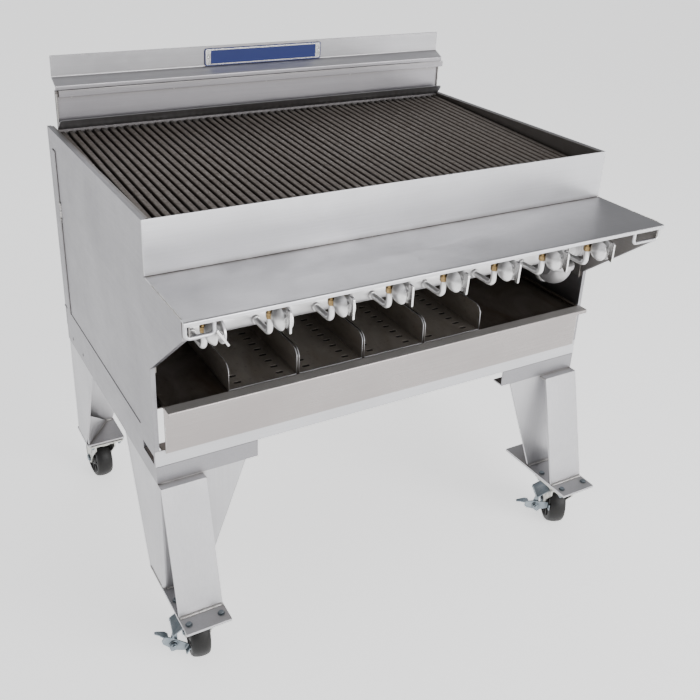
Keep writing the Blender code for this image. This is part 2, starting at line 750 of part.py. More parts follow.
def manifold():
    """Gas pipe across the front, plugged at both ends, with the drop to the inlet elbow."""
    pipe = tube("pipe", [(-HALF + 24 * MM, MANIFOLD_Y, MANIFOLD_Z),
                         (HALF - 26 * MM, MANIFOLD_Y, MANIFOLD_Z)], MANIFOLD_RADIUS, sides=6)
    collar = tube("collar", [(ELBOW_X - 4 * MM, MANIFOLD_Y, MANIFOLD_Z),
                             (ELBOW_X + 30 * MM, MANIFOLD_Y, MANIFOLD_Z)],
                  MANIFOLD_RADIUS + 3 * MM, sides=6)
    drop = tube("drop", [(ELBOW_X, MANIFOLD_Y, MANIFOLD_Z),
                         (ELBOW_X, MANIFOLD_Y, ELBOW_Z + 36 * MM)], SUPPLY_RADIUS, sides=5)
    return attach(smooth(fused("gas_manifold", [pipe, collar, drop], SILVER)), FRAME)


def inlet_elbow():
    """Cast elbow under the manifold and the supply pipe that runs to the rear."""
    bend = 26 * MM
    path = [(0.0, 36 * MM - GAP)] + arc((bend, bend), bend, 180, 270, 5)
    path.append((52 * MM, 0.0))
    points = [(ELBOW_X, MANIFOLD_Y + y, ELBOW_Z + z) for y, z in path]
    body = tube("body", points, 29 * MM, sides=5)
    collar_top = tube("collar", [(ELBOW_X, MANIFOLD_Y, ELBOW_Z + 20 * MM),
                                 (ELBOW_X, MANIFOLD_Y, ELBOW_Z + 35 * MM)], 34 * MM, sides=5)
    collar_rear = tube("collar", [(ELBOW_X, MANIFOLD_Y + 34 * MM, ELBOW_Z),
                                  (ELBOW_X, MANIFOLD_Y + 51 * MM, ELBOW_Z)], 34 * MM, sides=5)
    supply = tube("supply", [(ELBOW_X, MANIFOLD_Y + 44 * MM, ELBOW_Z),
                             (ELBOW_X, BODY_DEPTH + 22 * MM, ELBOW_Z)], SUPPLY_RADIUS, sides=5)
    made = fused("gas_inlet_elbow", [body, collar_top, collar_rear, supply], SILVER)
    return attach(smooth(made), FRAME)


def gas_valve(index):
    """Bobbin-shaped valve body, its brass fitting and the feed tube from the manifold."""
    x = valve_x(index)
    profile = [(0.0, 16 * MM), (DRUM_RADIUS, 16 * MM), (DRUM_RADIUS, 11 * MM), (14 * MM, 10 * MM),
               (14 * MM, -1 * MM), (DRUM_RADIUS, -2 * MM), (DRUM_RADIUS - 0.5 * MM, -6 * MM),
               (DRUM_RADIUS - 6 * MM, -12 * MM), (0.0, -17 * MM)]
    drum = turned("drum", profile, 18, axis="X", place=(x, VALVE_Y, VALVE_Z))
    stem_x = x + LEVER_X
    nose = tube("nose", [(stem_x, VALVE_Y, LEVER_Z), (stem_x, VALVE_Y - 24.3 * MM, LEVER_Z)],
                6 * MM, sides=2)
    feed_x = x - 8 * MM
    fitting = box("fitting", (feed_x - 7.6 * MM, FEED_Y - 9.6 * MM, VALVE_Z - 10 * MM),
                  (feed_x + 15 * MM, FEED_Y + 6.4 * MM, VALVE_Z + 12 * MM))
    corner = (FEED_Y + FEED_BEND, FEED_Z + FEED_BEND)
    bend = arc(corner, FEED_BEND, 180, 270, 4)
    points = [(feed_x, FEED_Y, VALVE_Z - 2 * MM)]
    points += [(feed_x, y, z) for y, z in bend]
    points.append((feed_x, MANIFOLD_Y - MANIFOLD_RADIUS - GAP, FEED_Z))
    feed = tube("feed", points, FEED_RADIUS, sides=2)
    pieces = [drum, nose, fitting, feed]
    return attach(smooth(fused("gas_valve_%d" % (index + 1), pieces, BRASS_STEEL)), FRAME)


def valve_lever(index):
    """Paddle lever, centred on the valve's front stem."""
    pivot = empty("lever_pivot_%d" % (index + 1),
                  (valve_x(index) + LEVER_X, VALVE_Y - 24.3 * MM - GAP, LEVER_Z), FRAME)
    pivot.rotation_euler = (0.0, -math.radians(LEVER_ANGLES[index]), 0.0)
    width, depth, height = LEVER_SIZE
    lever = box("valve_lever_%d" % (index + 1), (-width / 2, -depth, -height / 2),
                (width / 2, 0.0, height / 2), BRASS_STEEL)
    attach(lever, pivot)
    return pivot


# Firebox internals ------------------------------------------------------------------------


def burner_rack():
    """Eight burner tubes on two cross supports that rest on the side liners' ledges."""
    low_y = 36 * MM
    high_y = 600 * MM
    pieces = []
    for index in range(BURNERS):
        x = valve_x(index) - 8 * MM
        pieces.append(tube("burner", [(x, low_y, BURNER_Z), (x, 150 * MM, BURNER_Z + 6 * MM),
                                      (x, high_y, BURNER_Z + 20 * MM)], 19 * MM, sides=2))
    half = HALF - SKIN - LINER - GAP
    for y, z in ((110 * MM, BURNER_Z - 16 * MM), (560 * MM, BURNER_Z - 2 * MM)):
        pieces.append(box("support", (-half, y, z), (half, y + 20 * MM, z + 6 * MM)))
    return attach(fused("burner_rack", pieces, BURNER), FRAME)


def radiant_rack():
    """Cast radiants over the burners: eight roofs on two cross bars."""
    peak = BODY_TOP - 120 * MM
    pieces = []
    for index in range(BURNERS):
        x = valve_x(index)
        path = [(x - 55 * MM, peak - 42 * MM), (x, peak), (x + 55 * MM, peak - 42 * MM)]
        pieces.append(plate("roof", [sheet_outline(path, -6 * MM)], "Y", 34 * MM, 618 * MM))
    half = HALF - SKIN - LINER - GAP
    for y in (60 * MM, 570 * MM):
        low = peak - 52 * MM
        pieces.append(box("bar", (-half, y, low), (half, y + 16 * MM, low + 12 * MM)))
    return attach(fused("radiant_rack", pieces, BURNER), FRAME)


def grate(index):
    """Cast-iron section: parallel bars joined by ribs, falling towards the front."""
    width = GRATE_SPAN / GRATES - 2 * GAP
    run = math.hypot(GRATE_REAR_Y - GRATE_FRONT_Y, GRATE_REAR_Z - GRATE_FRONT_Z)
    pitch = width / BARS_PER_GRATE
    ribs = (0.0, 0.33, 0.67, 1.0)
    rib = 9 * MM
    outer = [(0.0, 0.0), (width, 0.0), (width, run), (0.0, run)]
    outlines = [outer]
    for gap_index in range(BARS_PER_GRATE - 1):
        left = (gap_index + 1) * pitch - (pitch - BAR_WIDTH) / 2
        right = left + pitch - BAR_WIDTH
        for start, end in zip(ribs, ribs[1:]):
            low = max(start * run + rib / 2, 6 * MM)
            high = min(end * run - rib / 2, run - 6 * MM)
            outlines.append([(left, low), (right, low), (right, high), (left, high)])
    made = plate("grate_section_%d" % (index + 1), outlines, "Z", -GRATE_THICK, 0.0, IRON)
    fall = math.atan2(GRATE_REAR_Z - GRATE_FRONT_Z, GRATE_REAR_Y - GRATE_FRONT_Y)
    start_x = -GRATE_SPAN / 2 + index * GRATE_SPAN / GRATES + GAP
    made.matrix_world = (
        Matrix.Translation((start_x, GRATE_FRONT_Y, GRATE_FRONT_Z))
        @ Matrix.Rotation(fall, 4, "X")
        @ made.matrix_world
    )
    return attach(made, FRAME)


def drip_pan(slide):
    """Sliding pan: handle lip, deep front, floor, low rims and rear edge."""
    face_y = -10 * MM
    lip_y = face_y - PAN_LIP
    path = [
        (lip_y, PAN_TOP - 9 * MM),
        (lip_y, PAN_TOP),
        (face_y, PAN_TOP),
        (face_y, RAIL_TOP - 1 * MM),
    ]
    front = plate("front", [sheet_outline(path, -PAN_SHEET)], "X", -PAN_HALF, PAN_HALF)
    floor_low = PAN_FLOOR - PAN_SHEET
    half = PAN_HALF - 3 * MM
    pieces = [front]
    pieces.append(box("floor", (-half, face_y - PAN_SHEET / 2, floor_low),
                      (half, PAN_DEPTH, PAN_FLOOR)))
    rim_top = PAN_TOP - 1 * MM
    for side in (-1, 1):
        span = mirrored(side)
        rim = span(half - PAN_SHEET, half)
        pieces.append(box("rim", (rim[0], face_y - 1 * MM, floor_low + 0.5 * MM),
                          (rim[1], PAN_DEPTH, rim_top)))
    pieces.append(box("rear_rim", (-half, PAN_DEPTH - PAN_SHEET, floor_low + 0.5 * MM),
                      (half, PAN_DEPTH, rim_top)))
    return attach(fused("drip_pan", pieces, PAN_STEEL), slide)


def slotted_tray(index, slide):
    """Folded tray that stands in the pan; its floor is slotted."""
    centre = TRAY_FIRST_X + index * TRAY_PITCH
    half = TRAY_WIDTH / 2
    sheet = 1.5 * MM
    floor = PAN_FLOOR + GAP
    start_y = 2 * MM
    end_y = start_y + TRAY_DEPTH
    slots = []
    for number in range(8):
        y = start_y + 20 * MM + number * 28 * MM
        slots.append((centre + half - 42 * MM, centre + half - 18 * MM, y))
        if number < 2:
            slots.append((centre - half + 18 * MM, centre - half + 42 * MM, y))
    holes = [[(a, y), (b, y), (b, y + 7 * MM), (a, y + 7 * MM)] for a, b, y in slots]
    rim = [(centre - half, start_y), (centre + half, start_y),
           (centre + half, end_y), (centre - half, end_y)]
    pieces = [plate("floor", [rim] + holes, "Z", floor, floor + sheet)]
    top = floor + TRAY_WALL
    corner = 22 * MM
    round_front = arc((start_y + corner, top - corner), corner, 180, 90, 5)
    wall = [(start_y, floor + 0.2 * MM)] + round_front + [(end_y, top), (end_y, floor + 0.2 * MM)]
    for side in (-1, 1):
        span = mirrored(side)
        low, high = span(half - sheet, half)
        pieces.append(plate("wall", [wall], "X", centre + low, centre + high))
    made = fused("slotted_tray_%d" % (index + 1), pieces, PAN_STEEL)
    return attach(made, slide)


# Assembly -----------------------------------------------------------------------------------

for label, side in (("left", -1), ("right", 1)):
    side_panel(label, side)
    side_base_rail(label, side)
    leg(label, side, True)
    leg(label, side, False)
    for end, caster_y in (("front", FRONT_CASTER_Y), ("rear", REAR_CASTER_Y)):
        corner_name = "%s_%s" % (end, label)
        spot = (side * (HALF - CASTER_INSET), caster_y)
        caster_mount(corner_name, spot)
        swivel_empty = caster(corner_name, spot)[0]
        if end == "front":
            brake_lever(corner_name, swivel_empty)

front_panel()
rear_panel()
front_shelf()
backsplash()
splash_deflector()
nameplate()
base_rail("base_rail_front", 0.0, 1, RAIL_TOP)
base_rail("base_rail_rear", BODY_DEPTH, -1, SIDE_SKIRT - GAP)
manifold()
inlet_elbow()
for number in range(BURNERS):
    gas_valve(number)
    valve_lever(number)
burner_rack()
radiant_rack()
for number in range(GRATES):
    grate(number)
PAN_SLIDE = empty("pan_slide", (0.0, 0.0, PAN_FLOOR), FRAME)
PAN_SLIDE_INVERSE = Matrix.Translation((0.0, 0.0, -PAN_FLOOR))
for made_object in [drip_pan(PAN_SLIDE)] + [slotted_tray(n, PAN_SLIDE) for n in range(TRAYS)]:
    made_object.matrix_parent_inverse = PAN_SLIDE_INVERSE
bpy.context.view_layer.update()
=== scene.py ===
"""Looks of the gas charbroiler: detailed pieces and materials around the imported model."""
import json
import math
import random

import bmesh
import bpy
from mathutils import Matrix, Vector, noise


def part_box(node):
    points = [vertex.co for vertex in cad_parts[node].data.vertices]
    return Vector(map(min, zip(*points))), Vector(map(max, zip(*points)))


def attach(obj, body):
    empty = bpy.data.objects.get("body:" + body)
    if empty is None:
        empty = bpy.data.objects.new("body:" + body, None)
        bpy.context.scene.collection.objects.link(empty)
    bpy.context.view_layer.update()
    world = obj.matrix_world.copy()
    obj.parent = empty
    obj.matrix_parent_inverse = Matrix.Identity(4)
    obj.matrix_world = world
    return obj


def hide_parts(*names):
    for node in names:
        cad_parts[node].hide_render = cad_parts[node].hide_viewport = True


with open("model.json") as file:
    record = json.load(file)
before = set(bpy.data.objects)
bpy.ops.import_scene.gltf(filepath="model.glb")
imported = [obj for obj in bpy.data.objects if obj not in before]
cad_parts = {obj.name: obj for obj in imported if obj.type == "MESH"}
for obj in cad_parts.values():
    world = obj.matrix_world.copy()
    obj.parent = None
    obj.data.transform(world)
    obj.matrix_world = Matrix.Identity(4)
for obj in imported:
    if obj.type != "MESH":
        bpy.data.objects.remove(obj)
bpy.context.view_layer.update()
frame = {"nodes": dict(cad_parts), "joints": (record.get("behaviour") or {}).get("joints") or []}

MM = 0.001
NODES = frame["nodes"]
JOINTS = {joint["name"]: joint for joint in frame["joints"]}
FIXED = "stand_and_firebox"
PAN_BODY = "pan_and_trays"

panel_low, panel_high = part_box("front_panel")
MID_X = (panel_low.x + panel_high.x) / 2
FACE_Y = panel_low.y
TOP_Z = panel_high.z
HALF = (panel_high.x - panel_low.x) / 2 / MM
DEPTH = (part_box("side_panel_left")[1].y - FACE_Y) / MM
BURNERS = 8
PITCH = 134.5
SECTIONS = 4                    # grate sections, and trays
SIDES = (("left", -1), ("right", 1))
CORNERS = ("front_left", "front_right", "rear_left", "rear_right")
FOOT_Z = -855                 # top of the foot plates
FOOT_PLATE = 6
WHEEL_RADIUS = 60
BRAKE_TILT = {"front_left": 32, "front_right": 0}
LEVER_TURNS = (32, 0, 0, 0, -4, -3, 0, 0)

# Millimetres right of the middle, behind the front panel's face, and above the body's top.
BODY_PLACE = Matrix.Translation((MID_X, FACE_Y, TOP_Z)) @ Matrix.Scale(MM, 4)


# Camera and light -----------------------------------------------------------------------

def add_object(name, data):
    made = bpy.data.objects.new(name, data)
    bpy.context.scene.collection.objects.link(made)
    return made


def add_camera():
    data = bpy.data.cameras.new("camera")
    data.sensor_width = 36
    data.lens = 46.31
    data.shift_x = 0.0366
    data.shift_y = -0.0842
    data.clip_start = 0.05
    data.clip_end = 200
    camera = add_object("camera", data)
    camera.location = BODY_PLACE @ Vector((-448.3 - HALF, -1466.4, 567.7))
    camera.rotation_euler = [math.radians(turn) for turn in (65.112, -1.670, -28.623)]
    bpy.context.scene.camera = camera


def add_area(name, place, target, size, power, colour=(1, 1, 1)):
    data = bpy.data.lights.new(name, "AREA")
    data.shape = "RECTANGLE"
    data.size, data.size_y = size
    data.energy = power
    data.color = colour
    lamp = add_object(name, data)
    lamp.location = place
    aim = Vector(target) - Vector(place)
    lamp.rotation_euler = aim.to_track_quat("-Z", "Y").to_euler()


def add_stage():
    world = bpy.data.worlds.new("studio")
    world.use_nodes = True
    background = world.node_tree.nodes["Background"]
    background.inputs["Color"].default_value = (0.92, 0.93, 0.95, 1)
    background.inputs["Strength"].default_value = 0.42
    bpy.context.scene.world = world
    mesh = bpy.data.meshes.new("floor")
    half = 30
    mesh.from_pydata([(-half, -half, 0), (half, -half, 0), (half, half, 0), (-half, half, 0)],
                     [], [(0, 1, 2, 3)])
    paint = bpy.data.materials.new("floor_paint")
    paint.use_nodes = True
    shader = paint.node_tree.nodes["Principled BSDF"]
    for key, value in (("Base Color", (0.96, 0.96, 0.96, 1)), ("Roughness", 0.8),
                       ("Emission Color", (1, 1, 1, 1)), ("Emission Strength", 1.1)):
        shader.inputs[key].default_value = value
    mesh.materials.append(paint)
    add_object("floor", mesh)
    add_area("key", (1.4, -4.2, 1.8), (0.1, 0, 0.5), (3.6, 2.2), 200)
    add_area("fill_left", (-4.2, -0.6, 1.8), (0, 0, 0.6), (2.6, 2.2), 8, (0.97, 0.98, 1))
    add_area("top_rear", (0.3, 2.4, 3.2), (0, 0.2, 1), (3, 1.6), 12)


# Materials ------------------------------------------------------------------------------

class Look:
    """A Principled material with a few helpers for its procedural nodes."""

    def __init__(self, name, metallic=0, specular=0.5, anisotropic=0):
        self.material = bpy.data.materials.new(name)
        self.material.use_nodes = True
        self.tree = self.material.node_tree
        self.shader = self.tree.nodes["Principled BSDF"]
        self.fill(self.shader, {"Metallic": metallic, "Specular IOR Level": specular,
                                "Anisotropic": anisotropic})
        self.coords = self.add("ShaderNodeTexCoord").outputs

    def fill(self, node, inputs):
        """Set inputs by name or number, to a value or to another node's output."""
        for key, value in inputs.items():
            if isinstance(value, bpy.types.NodeSocket):
                self.tree.links.new(value, node.inputs[key])
            else:
                node.inputs[key].default_value = value

    def add(self, kind, inputs=None, **settings):
        node = self.tree.nodes.new(kind)
        for key, value in settings.items():
            setattr(node, key, value)
        self.fill(node, inputs or {})
        return node

    def stretched(self, scale):
        inputs = {"Scale": scale, "Vector": self.coords["Object"]}
        return self.add("ShaderNodeMapping", inputs).outputs["Vector"]

    def noise(self, scale, detail=3, rough=0.55, distortion=0):
        """Noise whose features are about 1/scale metres along each axis."""
        scale = scale if isinstance(scale, tuple) else (scale, scale, scale)
        inputs = {"Scale": 1, "Detail": detail, "Roughness": rough, "Distortion": distortion,
                  "Vector": self.stretched(scale)}
        return self.add("ShaderNodeTexNoise", inputs).outputs["Fac"]

    def cells(self, scale):
        inputs = {"Scale": 1, "Vector": self.stretched((scale, scale, scale))}
        return self.add("ShaderNodeTexVoronoi", inputs).outputs["Distance"]

    def span(self, value, from_low, from_high, to_low=0, to_high=1):
        inputs = {"From Min": from_low, "From Max": from_high, "To Min": to_low,
                  "To Max": to_high, "Value": value}
        return self.add("ShaderNodeMapRange", inputs).outputs["Result"]

    def sum(self, first, second, operation="ADD"):
        inputs = {0: first, 1: second}
        return self.add("ShaderNodeMath", inputs, operation=operation).outputs["Value"]

    def times(self, first, second):
        return self.sum(first, second, "MULTIPLY")

    def mix(self, factor, first, second):
        node = self.add("ShaderNodeMix", {"Factor": factor}, data_type="RGBA")
        keys = [key for key, socket in enumerate(node.inputs) if socket.type == "RGBA"]
        for key, value in zip(keys, (first, second)):
            self.fill(node, {key: (*value, 1) if isinstance(value, tuple) else value})
        return [socket for socket in node.outputs if socket.type == "RGBA"][0]

    def along(self, kind, axis):
        """One axis of the place (kind Object) or of the way the surface faces (Normal)."""
        return self.add("ShaderNodeSeparateXYZ", {"Vector": self.coords[kind]}).outputs[axis]

    def corner_shade_mask(self, distance):
        """Mask for painted shade: 1 in corners and gaps, 0 in the open."""
        occlusion = self.add("ShaderNodeAmbientOcclusion", {"Distance": distance}, samples=8)
        return self.span(occlusion.outputs["AO"], 0.35, 1, 1, 0)

    def with_corner_shade(self, tone, distance, strength, corner_shade):
        """The tone with painted shade in corners and gaps."""
        return self.mix(self.times(self.corner_shade_mask(distance), strength), tone, corner_shade)

    def done(self, tone, rough, *bumps):
        """Colour, roughness, and the height, distance and strength of each bump."""
        self.fill(self.shader, {"Base Color": tone, "Roughness": rough})
        beneath = {}
        for height, distance, strength in bumps:
            inputs = {"Strength": strength, "Distance": distance, "Height": height}
            beneath = {"Normal": self.add("ShaderNodeBump", inputs | beneath).outputs["Normal"]}
        self.fill(self.shader, beneath)
        return self.material


def steel(name, colour, rough, grain, streak=0.05, cloud=0.06, metallic=1, corner_shade=0.5):
    """Satin sheet steel: grain along one axis, soft clouds, faint marks, and painted shade in
    corners and seams.
    """
    look = Look(name, metallic=metallic, anisotropic=0.35)
    fine = [1500, 1500, 1500]
    coarse = [260, 260, 260]
    fine[grain] = 14
    coarse[grain] = 3
    lines = look.noise(tuple(fine), detail=2)
    bands = look.noise(tuple(coarse), detail=4, rough=0.6)
    clouds = look.noise(4.5, detail=5, rough=0.6, distortion=0.6)
    marks = look.noise(38, detail=6, rough=0.75)
    dark, pale, dull = [tuple(c * share for c in colour)
                        for share in (1 - streak, 1 + streak, 1 - cloud * 2.2)]
    tone = look.mix(look.span(bands, 0.3, 0.7), dark, pale)
    tone = look.mix(look.span(clouds, 0.35, 0.75, 0, 0.6), tone, dull)
    # Painted shade: darker in corners and seams, its strength varied by the marks.
    seam_shade = look.times(look.corner_shade_mask(0.012), look.span(marks, 0.35, 0.7, 0.55, corner_shade + 0.4))
    tone = look.mix(seam_shade, tone, (0.16, 0.14, 0.12))
    base = look.span(lines, 0.25, 0.75, rough - 0.06, rough + 0.07)
    patches = look.span(clouds, 0.3, 0.75, -0.03, 0.09)
    smears = look.span(marks, 0.45, 0.75, 0, 0.07)
    return look.done(tone, look.sum(look.sum(base, patches), smears),
                     (lines, 0.00004, 0.5), (clouds, 0.0012, 0.25))


def cast_iron_look():
    """Grate iron: brown-grey, sandy, paler where food and scrapers rub the bars' tops."""
    look = Look("grate_iron", metallic=0.35, specular=0.4)
    sand = look.noise(900, detail=5, rough=0.7)
    lumps = look.noise(120, detail=4)
    patches = look.noise(7, detail=5, rough=0.65, distortion=0.8)
    up = look.span(look.along("Normal", 2), 0.35, 0.95)
    rust = look.mix(look.span(patches, 0.4, 0.68), (0.180, 0.158, 0.142), (0.240, 0.178, 0.140))
    worn = look.mix(look.span(lumps, 0.3, 0.7), (0.240, 0.212, 0.192), (0.150, 0.124, 0.106))
    # Darker in the gaps and corners between the bars: painted shade, made patchy like soot.
    soot_and_gap_shade = look.times(look.corner_shade_mask(0.03), look.span(patches, 0.3, 0.7, 0.6, 1))
    tone = look.mix(soot_and_gap_shade, look.mix(up, rust, worn), (0.018, 0.015, 0.013))
    return look.done(tone, look.span(look.sum(sand, lumps), 0.6, 1.4, 0.42, 0.72),
                     (sand, 0.0006, 0.55), (lumps, 0.0012, 0.35))


def dark_iron_look(name, colour):
    """Burnt or scaled iron under the grates; also near-black painted shade under the tray slots
    and in the rail bolt holes.
    """
    look = Look(name, metallic=0.4, specular=0.4)
    sand = look.noise(700, detail=5, rough=0.7)
    patches = look.noise(14, detail=5, rough=0.65)
    pale = tuple(c * 1.7 for c in colour)
    return look.done(look.mix(look.span(patches, 0.35, 0.7), colour, pale),
                     look.span(patches, 0.3, 0.7, 0.55, 0.8), (sand, 0.0005, 0.5))


def greasy_look(name, metallic, stretch, swirl, dots, pale, deep, spot, dotted, rough, height):
    """Pan and tray steel: brown film drawn out front to back, with dark drips."""
    look = Look(name, metallic=metallic)
    across, along, grain = stretch
    film = look.noise((across, along, across), detail=6, rough=0.65, distortion=swirl)
    lines = look.noise((1200, grain, 1200), detail=2)
    tone = look.mix(look.span(film, 0.35, 0.7), pale, deep)
    tone = look.mix(look.span(look.cells(dots), 0, 0.25, dotted, 0), tone, spot)
    return look.done(tone, look.span(look.sum(film, lines), 0.6, 1.4, *rough),
                     (film, height, 0.3))


def cast_silver_look():
    """Silver paint over sand casting and black pipe."""
    look = Look("silver_painted_casting", metallic=0.75)
    sand = look.noise(520, detail=4, rough=0.65)
    dents = look.noise(75)
    drips = look.noise((20, 20, 6), detail=4)
    tone = look.mix(look.span(drips, 0.3, 0.7), (0.60, 0.60, 0.61), (0.47, 0.46, 0.46))
    # Painted shade in corners and gaps.
    return look.done(look.with_corner_shade(tone, 0.015, 0.6, (0.12, 0.11, 0.10)),
                     look.span(look.sum(sand, drips), 0.6, 1.4, 0.34, 0.5),
                     (sand, 0.0004, 0.35), (dents, 0.0012, 0.2))


def bright_look(name, metallic, dull=0):
    """Bright valve bodies and levers."""
    look = Look(name, metallic=metallic)
    haze = look.noise(60, detail=5, rough=0.65)
    scuffs = look.noise((900, 900, 60), detail=2)
    tone = look.mix(look.span(haze, 0.35, 0.7), (0.86, 0.86, 0.86), (0.74, 0.73, 0.72))
    # Painted shade in corners and gaps.
    return look.done(look.with_corner_shade(tone, 0.01, 0.5, (0.10, 0.09, 0.08)),
                     look.span(look.sum(haze, scuffs), 0.7, 1.35, 0.17 + dull, 0.34 + dull),
                     (scuffs, 0.00003, 0.5))


def brass_look():
    """Brass fittings, tarnished brown, with turning marks."""
    look = Look("brass_fitting", metallic=1)
    tarnish = look.noise(160, detail=5, rough=0.7)
    turned = look.noise((40, 40, 1500), detail=1)
    tone = look.mix(look.span(tarnish, 0.35, 0.7), (0.36, 0.25, 0.115), (0.20, 0.135, 0.06))
    # Painted shade in corners and gaps.
    return look.done(look.with_corner_shade(tone, 0.008, 0.7, (0.06, 0.04, 0.02)),
                     look.span(tarnish, 0.3, 0.75, 0.22, 0.48), (turned, 0.00005, 0.4))


def zinc_look(name, pale, deep):
    """Zinc plating: patchy, faintly tinted, a little spangle."""
    look = Look(name, metallic=1)
    patches = look.noise(45, detail=5, rough=0.6, distortion=0.5)
    tone = look.mix(look.span(patches, 0.33, 0.7), pale, deep)
    # Painted shade in corners and gaps.
    return look.done(look.with_corner_shade(tone, 0.012, 0.65, (0.07, 0.065, 0.055)),
                     look.span(look.sum(patches, look.cells(420)), 0.5, 1.3, 0.24, 0.46),
                     (patches, 0.0008, 0.2))


def tyre_look():
    """Black moulded wheel: floor dust and scuffs, heaviest near the floor."""
    look = Look("moulded_black_wheel", specular=0.35)
    dust = look.noise(55, detail=6, rough=0.7)
    scuffs = look.noise(260, detail=5, rough=0.7)
    low_down = look.span(look.along("Object", 2), 0, 0.12, 1, 0.35)
    film = look.times(look.span(dust, 0.42, 0.75, 0, 0.55), low_down)
    return look.done(look.mix(film, (0.006, 0.0057, 0.0057), (0.036, 0.033, 0.029)),
                     look.span(look.sum(dust, scuffs), 0.7, 1.35, 0.34, 0.66),
                     (scuffs, 0.0004, 0.4), (dust, 0.0008, 0.15))


def enamel_look():
    """Even blue enamel with a fine orange peel."""
    look = Look("blue_enamel", specular=0.4)
    peel = look.noise(600)
    fade = look.noise(9, detail=1)
    tone = look.mix(look.span(fade, 0.3, 0.7), (0.0035, 0.0155, 0.135), (0.0038, 0.0165, 0.142))
    return look.done(tone, look.span(peel, 0.3, 0.7, 0.38, 0.44), (peel, 0.00005, 0.15))


def weld_look():
    """Weld metal: dull, rippled, duller still in places."""
    look = Look("weld_metal", metallic=0.9)
    ripple = look.noise(420)
    tint = look.noise(60, detail=4)
    tone = look.mix(look.span(tint, 0.35, 0.7), (0.62, 0.61, 0.60), (0.46, 0.44, 0.42))
    return look.done(tone, look.span(ripple, 0.3, 0.7, 0.34, 0.55), (ripple, 0.0008, 0.4))


STEEL_X = steel("sheet_steel_grain_x", (0.63, 0.63, 0.65), 0.33, 0)
# Side steel: the same sheet steel as the front, set about half as bright: painted shade on the
# sides.
STEEL_Y_SHADED = steel("sheet_steel_grain_y_shaded", (0.34, 0.335, 0.35), 0.38, 1)
STEEL_Z = steel("plate_steel_grain_z", (0.57, 0.565, 0.58), 0.40, 2, metallic=0.9)
# Firebox liner and cheeks: the same steel set darker as painted shade inside the firebox, with
# heavy painted shade in corners.
INNER_SHADED = steel("firebox_steel_shaded", (0.30, 0.285, 0.275), 0.42, 1, streak=0.04, cloud=0.12, corner_shade=0.9)
PAN_STEEL = steel("pan_steel_warm", (0.40, 0.37, 0.36), 0.28, 0)
# Pan interior: a greasy film, set darker than the pan's face as painted shade under the firebox.
PAN_INSIDE_SHADED = greasy_look("greasy_pan_steel_shaded", 0.85, (9, 5, 12), 1.2, 75,
                         (0.230, 0.200, 0.175), (0.110, 0.080, 0.058), (0.03, 0.022, 0.016),
                         0.35, (0.30, 0.52), 0.0010)
# Tray steel: a greasy film, set darker as painted shade under the grates.
TRAY_STEEL_SHADED = greasy_look("tray_steel", 0.7, (14, 6, 14), 0.8, 60,
                         (0.36, 0.325, 0.29), (0.23, 0.20, 0.17), (0.06, 0.05, 0.04),
                         0.3, (0.36, 0.56), 0.0008)
# Near-black sheet under the tray slots: painted shade seen through them.
SLOT_SHADE = dark_iron_look("slot_shade_black", (0.012, 0.010, 0.009))
PAN_LIP = steel("pan_lip_steel", (0.40, 0.38, 0.365), 0.46, 0, metallic=0.55)
# Darker copy of the front steel for the shelf's top: painted shade.
SHELF_TOP_SHADED = steel("shelf_steel_grain_x_shaded", (0.46, 0.455, 0.47), 0.40, 0, streak=0.025)
# One splash sheet in three tones: a mid tone above, painted shade below, and painted light on the
# ledge's upward faces.
SPLASH_TOP = steel("splash_steel_grain_x", (0.47, 0.465, 0.48), 0.33, 0)
SPLASH_LOW_SHADED = steel("splash_steel_lower_shaded", (0.32, 0.31, 0.325), 0.36, 0)
SPLASH_LEDGE_LIT = steel("splash_ledge_steel_lit", (0.80, 0.79, 0.81), 0.40, 0)
IRON = cast_iron_look()
BURNER_IRON = dark_iron_look("burner_iron_scaled", (0.045, 0.040, 0.036))
CASTING = cast_silver_look()
BRIGHT = bright_look("bright_plate", 1)
VALVE_CAST = bright_look("valve_casting", 0.72, 0.10)
BRASS = brass_look()
ZINC_BLUE = zinc_look("blue_zinc", (0.33, 0.37, 0.40), (0.19, 0.23, 0.26))
ZINC_WARM = zinc_look("warm_zinc", (0.66, 0.66, 0.62), (0.50, 0.50, 0.46))
TYRE = tyre_look()
ENAMEL = enamel_look()
WELD = weld_look()


# Building tools -------------------------------------------------------------------------

# Outline points and a level, as a place, for a shape that runs along an axis.
ALONG = {"X": lambda a, b, level: (level, a, b), "Y": lambda a, b, level: (a, level, b),
         "Z": lambda a, b, level: (a, b, level)}
TURNED = {"X": Matrix.Rotation(math.radians(90), 4, "Y"),
          "Y": Matrix.Rotation(math.radians(-90), 4, "X"), "Z": Matrix.Identity(4)}


def pair(side, near, far):
    """Two distances from the middle as a low and a high end on the given side."""
    return sorted((side * near, side * far))


def skin(part, rings):
    """Close a run of rings of vertices with sides and two ends."""
    count = len(rings[0])
    for first, second in zip(rings, rings[1:]):
        for index in range(count):
            after = (index + 1) % count
            part.faces.new((first[index], first[after], second[after], second[index]))
    part.faces.new(rings[0])
    part.faces.new(rings[-1])


